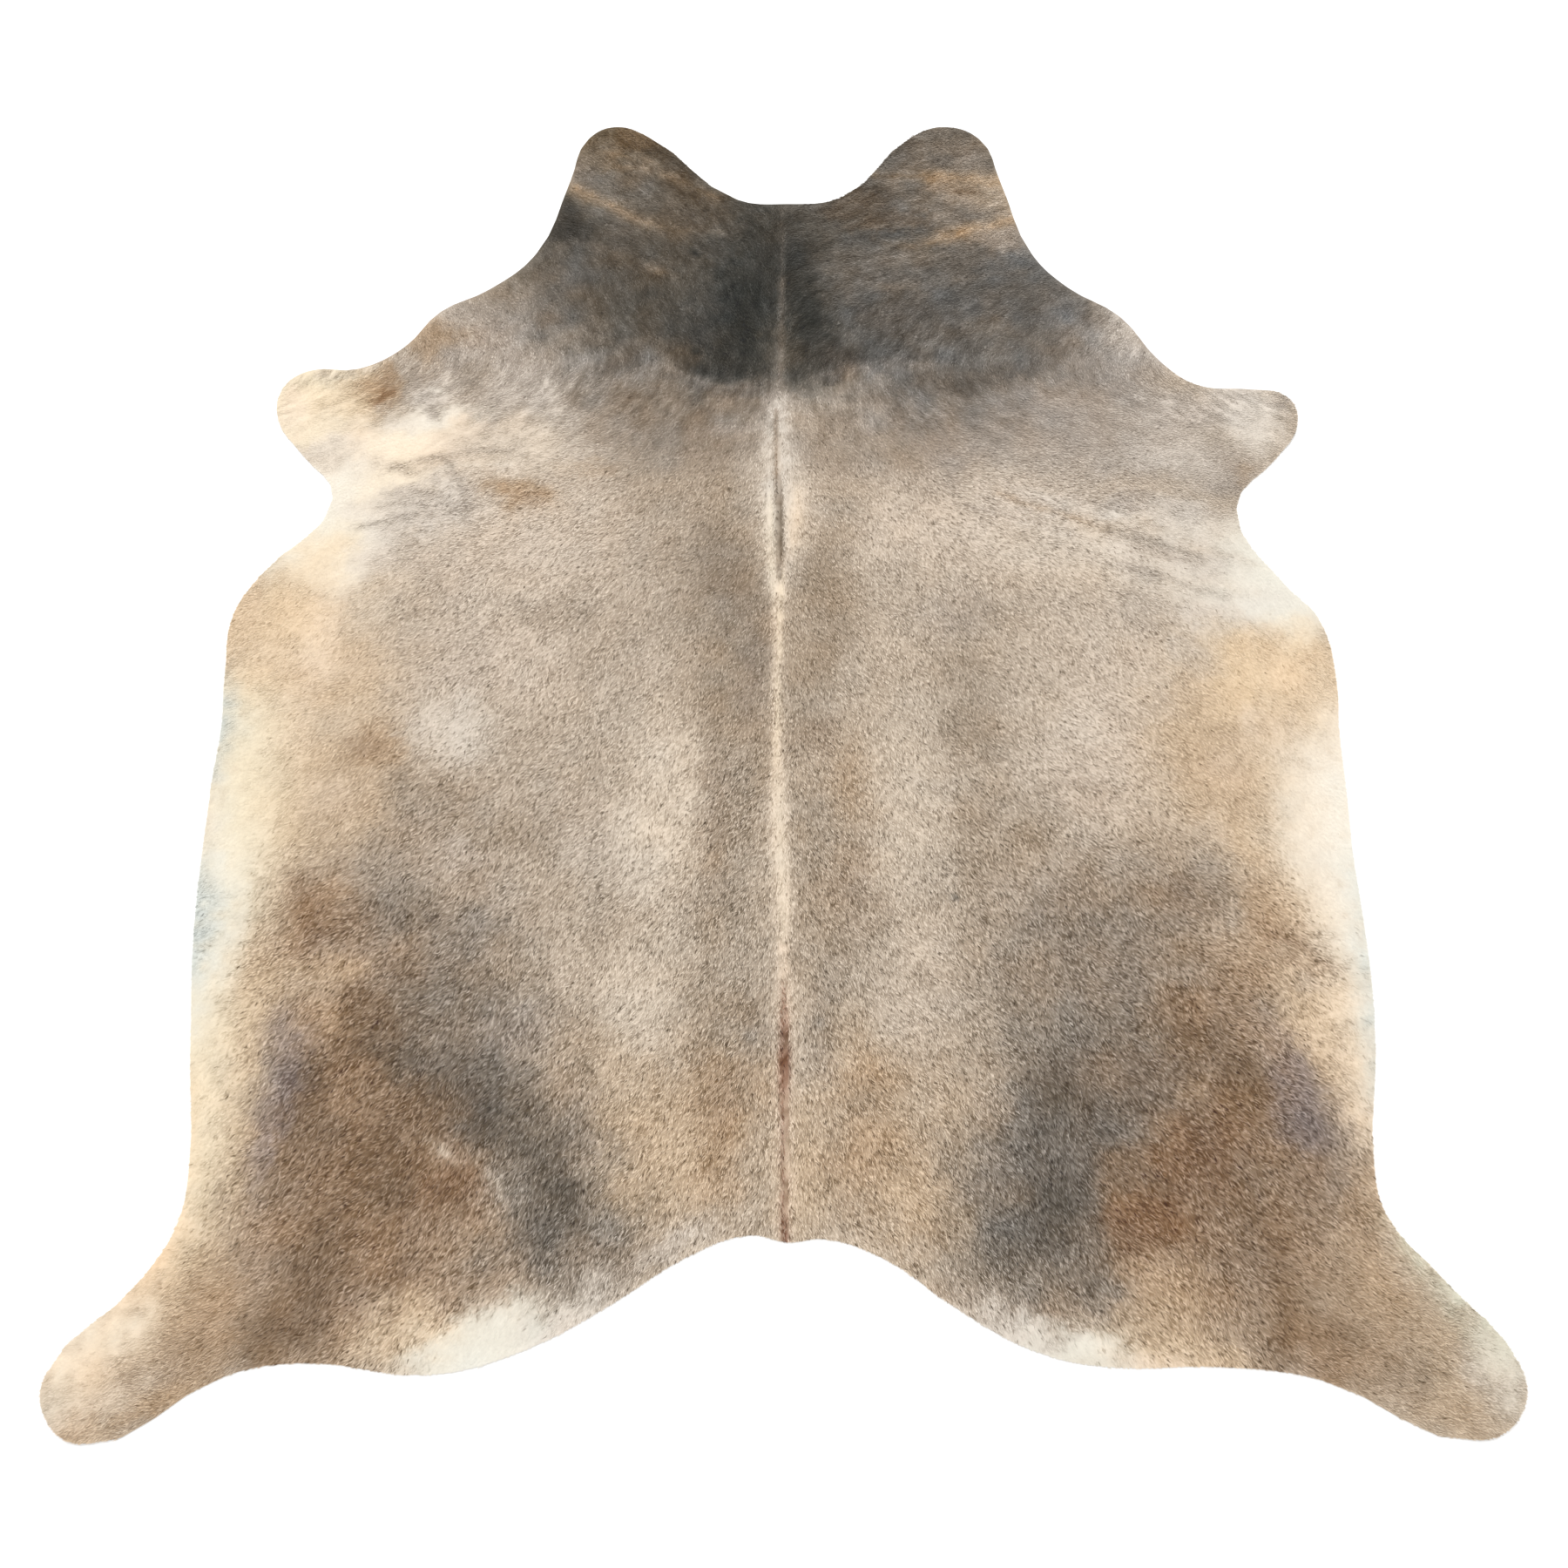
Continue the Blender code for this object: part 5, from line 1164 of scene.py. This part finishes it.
def drawToRim(mesh):
    # the ragged border is drawn onto the rim
    co = readValues(mesh.vertices, "co", 3)
    ends = readValues(mesh.edges, "vertices", 2, np.int64)
    sides = readValues(mesh.loops, "edge_index", kind=np.int64)
    uses = np.bincount(sides, minlength=len(mesh.edges))
    border = np.zeros(len(co), dtype=bool)
    border[ends[uses == 1].ravel()] = True
    for _ in range(skinMake["edgeRounds"]):
        x, y = co[border, 0], co[border, 1]
        gx, gy = slopeOf(insideBy, x, y, skinMake["edgeProbe"])
        steep = np.maximum(np.hypot(gx, gy), 0.3)
        away = insideBy(x, y) - skinMake["inset"]
        co[border, 0] -= away * gx / steep ** 2
        co[border, 1] -= away * gy / steep ** 2
    co[:, 2] = leatherAt(co[:, 0], co[:, 1])
    mesh.vertices.foreach_set("co", co.ravel())
    mesh.update()


def makeSkin():
    cell = skinMake["cell"]
    counts = np.ceil((rimHigh - rimLow) / cell).astype(int) + 1
    middle = (rimLow + rimHigh) / 2.0
    bpy.ops.mesh.primitive_grid_add(
        x_subdivisions=int(counts[0]),
        y_subdivisions=int(counts[1]),
        size=1.0,
        location=(middle[0], middle[1], 0.0),
    )
    skin = bpy.context.object
    skin.name = "skin"
    skin.scale = (counts[0] * cell, counts[1] * cell, 1.0)
    bpy.ops.object.transform_apply(location=True, rotation=True, scale=True)
    co = readValues(skin.data.vertices, "co", 3)
    cutOutside(skin.data, insideBy(co[:, 0], co[:, 1]) - skinMake["inset"])
    drawToRim(skin.data)
    thick = skin.modifiers.new("leather", "SOLIDIFY")
    thick.thickness = skinMake["leather"]
    thick.offset = -1.0
    bpy.ops.object.modifier_apply(modifier="leather")
    mesh = skin.data
    co = readValues(mesh.vertices, "co", 3)
    half = len(co) // 2
    x, y = co[:half, 0], co[:half, 1]
    # the underside lies straight below the upper side
    co[half:, 0] = x
    co[half:, 1] = y
    co[half:, 2] = undersideAt(x, y)
    mesh.vertices.foreach_set("co", co.ravel())
    tint = coatColour(x, y)
    pale = paleShare(tint)
    # the roots between the locks are tinted darker than the hair: painted shade
    tint *= skinMake["skinPaintedShade"] + skinMake["paleTint"] * pale[:, None]
    tintMesh(mesh, np.concatenate([tint, tint]), np.concatenate([pale, pale]))
    mesh.materials.append(skinFinish())
    mesh.materials.append(suedeFinish())
    normals = readValues(mesh.polygons, "normal", 3)
    mesh.polygons.foreach_set("material_index", (normals[:, 2] < 0.5).astype(np.int32))
    span = rimHigh - rimLow
    u = (co[:, 0] - rimLow[0]) / span[0] * skinMake["mapShare"]
    v = (co[:, 1] - rimLow[1]) / span[1]
    u[half:] += 1.0 - skinMake["mapShare"]
    addMap(mesh, "OFBake", np.clip(u, 0.0, 1.0), np.clip(v, 0.0, 1.0))
    bpy.ops.object.shade_smooth_by_angle(angle=radians(skinMake["smoothAngle"]))
    print("skin has", len(mesh.polygons), "faces")
    return skin


def rootPlaces(rng):
    # a honeycomb of roots, each a little off its place
    step, rowShare, jitter = hairMake["spacing"], hairMake["rowShare"], hairMake["jitter"]
    columns = int((rimHigh[0] - rimLow[0]) / step) + 1
    rows = int((rimHigh[1] - rimLow[1]) / (step * rowShare)) + 1
    i, j = np.meshgrid(np.arange(columns), np.arange(rows), indexing="ij")
    x = rimLow[0] + (i + 0.5 * (j % 2)) * step
    y = rimLow[1] + j * step * rowShare
    x = x.ravel() + rng.uniform(-jitter, jitter, x.size) * step
    y = y.ravel() + rng.uniform(-jitter, jitter, y.size) * step
    keep = insideBy(x, y) > hairMake["rootInside"]
    x, y = x[keep], y[keep]
    # the hair parts along the creases
    parted = creaseAt(x, y) > hairMake["partAt"]
    return x[~parted], y[~parted]


def lockDirections(rng, x, y):
    fx, fy = flowAt(x, y)
    stray = radians(hairMake["strayAngle"]) * rng.normal(0.0, 1.0, len(x))
    stray += hairMake["strayWander"] * cloud(x, y, 0.010, 61)
    c, s = np.cos(stray), np.sin(stray)
    return fx * c - fy * s, fx * s + fy * c


def lockLengths(rng, x, y, fx, fy, inside):
    # locks whose tips would pass the rim are shorter
    length = hairMake["length"] * rng.uniform(*hairMake["lengthRange"], len(x))
    tipInside = insideBy(x + fx * length, y + fy * length)
    room = inside + hairMake["overhang"] * rng.uniform(*hairMake["overhangRange"], len(x))
    room = np.clip(room / np.maximum(inside - tipInside, 0.0001), hairMake["shortest"], 1.0)
    return np.where(tipInside < 0.0, length * room, length)


def lockHeights(rng, x, y, inside, pale):
    vary = hairMake["heightVary"]
    height = 1.0 + 0.10 * cloud(x, y, 0.012, 62) + rng.uniform(-vary, vary, len(x))
    byRim = hairMake["rimHeight"] + hairMake["rimRise"] * smoothStep(inside, 0.0, hairMake["rimBand"])
    return height * (byRim * (1.0 - hairMake["paleFlat"] * pale))


def lockShades(rng, x, y, tint, soft):
    # the locks differ most on the dark thighs and least on the neck
    dark = 1.0 - smoothStep(tint.mean(axis=1), *hairMake["darkRange"])
    spread = 1.0 + hairMake["darkSpread"] * dark * zone("rearHalf", -y)
    fore = hairMake["foreSpread"] * zone("forelegs", y) - hairMake["neckSpread"] * zone("neckFoot", y)
    spread *= hairMake["lockSpread"] * (1.0 - fore - hairMake["legSpread"] * hindLegs(x, y)) * soft
    shade = rng.normal(0.0, 1.0, len(x))
    shade = 1.0 + spread * (shade - hairMake["shadeSkew"] * (shade ** 2 - 1.0))
    return np.maximum(shade, hairMake["darkestShade"])


def growLocks():
    # every lock's root, lie, sizes and colour, the same each run
    rng = np.random.default_rng(hairMake["seed"])
    x, y = rootPlaces(rng)
    inside = insideBy(x, y)
    fx, fy = lockDirections(rng, x, y)
    length = lockLengths(rng, x, y, fx, fy, inside)
    width = hairMake["width"] * rng.uniform(*hairMake["widthRange"], len(x))
    # a lock takes its colour from the place that its outer half covers, and pale hair lies flatter
    tintAt = hairMake["tintAt"]
    tint = coatColour(x + fx * length * tintAt, y + fy * length * tintAt)
    pale = paleShare(tint)
    width *= 1.0 + hairMake["paleWide"] * pale
    height = lockHeights(rng, x, y, inside, pale)
    soft = softSides(x, y)
    lean = hairMake["lean"] * rng.normal(0.0, 1.0, (2, len(x)))
    leanX, leanY = lean * (1.0 - hairMake["paleSteady"] * pale) * soft
    shade = lockShades(rng, x, y, tint, soft)
    tint *= 1.0 - hairMake["paleShade"] * pale[:, None]
    bend = hairMake["curl"] * rng.normal(0.0, 1.0, len(x))
    return x, y, fx, fy, length, width, height, shade, bend, pale, tint, leanX, leanY


def lockCorners(x, y, fx, fy, length, width, height, bend):
    # each lock has two corners at its root, one at its crest and one at its tip
    sx, sy = -fy, fx
    crest, root = hairMake["crestAt"], -hairMake["rootDepth"]
    tipX, tipY = x + fx * length + sx * bend * length, y + fy * length + sy * bend * length
    corners = (
        (x - sx * width / 2.0, y - sy * width / 2.0, root),
        (x + sx * width / 2.0, y + sy * width / 2.0, root),
        (x + fx * length * crest, y + fy * length * crest, hairMake["crestHeight"] * height),
        (tipX, tipY, hairMake["tipHeight"] * height),
    )
    co = np.empty((len(x), 4, 3))
    for k, (px, py, above) in enumerate(corners):
        co[:, k] = np.stack([px, py, leatherAt(px, py) + above], axis=1)
    return co


def lockMesh(name, co):
    # two triangles for each lock
    count = len(co)
    faces = np.arange(count, dtype=np.int64)[:, None] * 4 + np.array([[0, 3, 2, 1, 2, 3]])
    mesh = bpy.data.meshes.new(name)
    mesh.vertices.add(count * 4)
    mesh.vertices.foreach_set("co", co.ravel())
    mesh.loops.add(count * 6)
    mesh.loops.foreach_set("vertex_index", faces.ravel())
    mesh.polygons.add(count * 2)
    mesh.polygons.foreach_set("loop_start", np.arange(0, count * 6, 3))
    mesh.update(calc_edges=True)
    return mesh


def makeCoatPiece(name, locks, finish):
    x, y, fx, fy, length, width, height, shade, bend, pale, tint, leanX, leanY = locks
    count = len(x)
    co = lockCorners(x, y, fx, fy, length, width, height, bend)
    mesh = lockMesh(name, co)
    # pale hair shows its locks less, and a lock's shade changes how grey it is more than its hue
    power = (1.0 - hairMake["paleCalm"] * pale)[:, None] * (tint[:, 1:2] / tint) ** 0.5
    # painted shade at each lock's roots and crest and painted light at its tip, times the lock's own tone
    shades = np.array([hairMake[key] for key in ("rootPaintedShade", "rootPaintedShade", "crestPaintedShade", "tipPaintedLight")])
    shades = shades[None, :, None] * shade[:, None, None]
    colours = tint[:, None, :] * shades ** power[:, None, :]
    tintMesh(mesh, colours.reshape(-1, 3), np.repeat(pale, 4))
    flat = co.reshape(-1, 3)
    low, span = flat.min(axis=0), np.ptp(flat, axis=0)
    addMap(mesh, "OFBake", (flat[:, 0] - low[0]) / span[0], (flat[:, 1] - low[1]) / span[1])
    # each lock reads its own part of the streaks
    across = np.tile([0.0, 1.0, 0.5, 0.5], count) + np.repeat(np.arange(count) * 1.37 % 97.0, 4)
    addMap(mesh, "strand", across, np.tile([0.0, 0.0, hairMake["crestAt"], 1.0], count))
    mesh.materials.append(finish)
    mesh.shade_smooth()
    # the locks take the light as one soft surface does, each leaning a little its own way
    slopeX, slopeY = slopeOf(leatherAt, x, y, hairMake["slopeProbe"])
    facing = np.stack([leanX - slopeX, leanY - slopeY, np.ones(count)], axis=1)
    facing /= np.linalg.norm(facing, axis=1)[:, None]
    mesh.normals_split_custom_set_from_vertices(np.repeat(facing, 4, axis=0))
    print(name, "has", count * 2, "triangles")
    return addObject(name, mesh)


# Where the coat's pieces meet along the rug, and a place past either end of it
neckLine = 0.55
waistLine = -0.20
beyond = 9.0

coatPieces = (
    # name, side of the spine or 0 for both, tailEnd, neckEnd
    ("coatNeck", 0, neckLine, beyond),
    ("coatLeftFront", -1, waistLine, neckLine),
    ("coatRightFront", 1, waistLine, neckLine),
    ("coatLeftRear", -1, -beyond, waistLine),
    ("coatRightRear", 1, -beyond, waistLine),
)


def makeCoat():
    locks = growLocks()
    x, y = locks[0], locks[1]
    finish = hairFinish()
    pieces = []
    for name, side, tailEnd, neckEnd in coatPieces:
        chosen = (y >= tailEnd) & (y < neckEnd)
        if side:
            chosen &= (x < 0.0) == (side < 0)
        pieces.append(makeCoatPiece(name, [values[chosen] for values in locks], finish))
    return pieces


floorMake = {
    "size": 14.0,
    "below": 0.0004,             # so that it doesn't touch the leather
    "colour": (0.74, 0.74, 0.74, 1.0),
}


def makeFloor():
    bpy.ops.mesh.primitive_plane_add(size=floorMake["size"], location=(0.0, 0.0, -floorMake["below"]))
    floor = bpy.context.object
    floor.name = "floor"
    f = Finish("paleFloor")
    f.set(Base_Color=floorMake["colour"], Roughness=0.9, Specular_IOR_Level=0.0)
    floor.data.materials.append(f.material)


lightMake = {
    "worldStrength": 1.25,
    "key": (-0.5, 1.3, 5.3),
    "keySize": 2.6,
    "keyPower": 182.0,
}


def makeLight():
    world = bpy.data.worlds.new("softRoom")
    world.use_nodes = True
    sky = world.node_tree.nodes["Background"]
    sky.inputs["Color"].default_value = (1.0, 1.0, 1.0, 1.0)
    sky.inputs["Strength"].default_value = lightMake["worldStrength"]
    bpy.context.scene.world = world
    lamp = bpy.data.lights.new("softBox", "AREA")
    lamp.shape = "SQUARE"
    lamp.size = lightMake["keySize"]
    lamp.energy = lightMake["keyPower"]
    light = addObject("softBox", lamp)
    light.location = lightMake["key"]
    light.rotation_euler = (-Vector(lightMake["key"])).to_track_quat("-Z", "Y").to_euler()


def makeCamera():
    lens = bpy.data.cameras.new("view")
    lens.lens = viewMake["lens"]
    lens.sensor_width = viewMake["sensor"]
    camera = addObject("view", lens)
    camera.location = viewMake["eye"]
    camera.rotation_euler = (radians(90.0 - viewMake["pitchBelowHorizon"]), 0.0, 0.0)
    bpy.context.scene.camera = camera


makeCamera()
makeFloor()
makeLight()
bpy.context.scene.view_settings.view_transform = "Standard"
print("camera, floor and light placed")

skin = makeSkin()
coat = makeCoat()

for piece in (skin, *coat):
    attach(piece, "root")
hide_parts("hide")
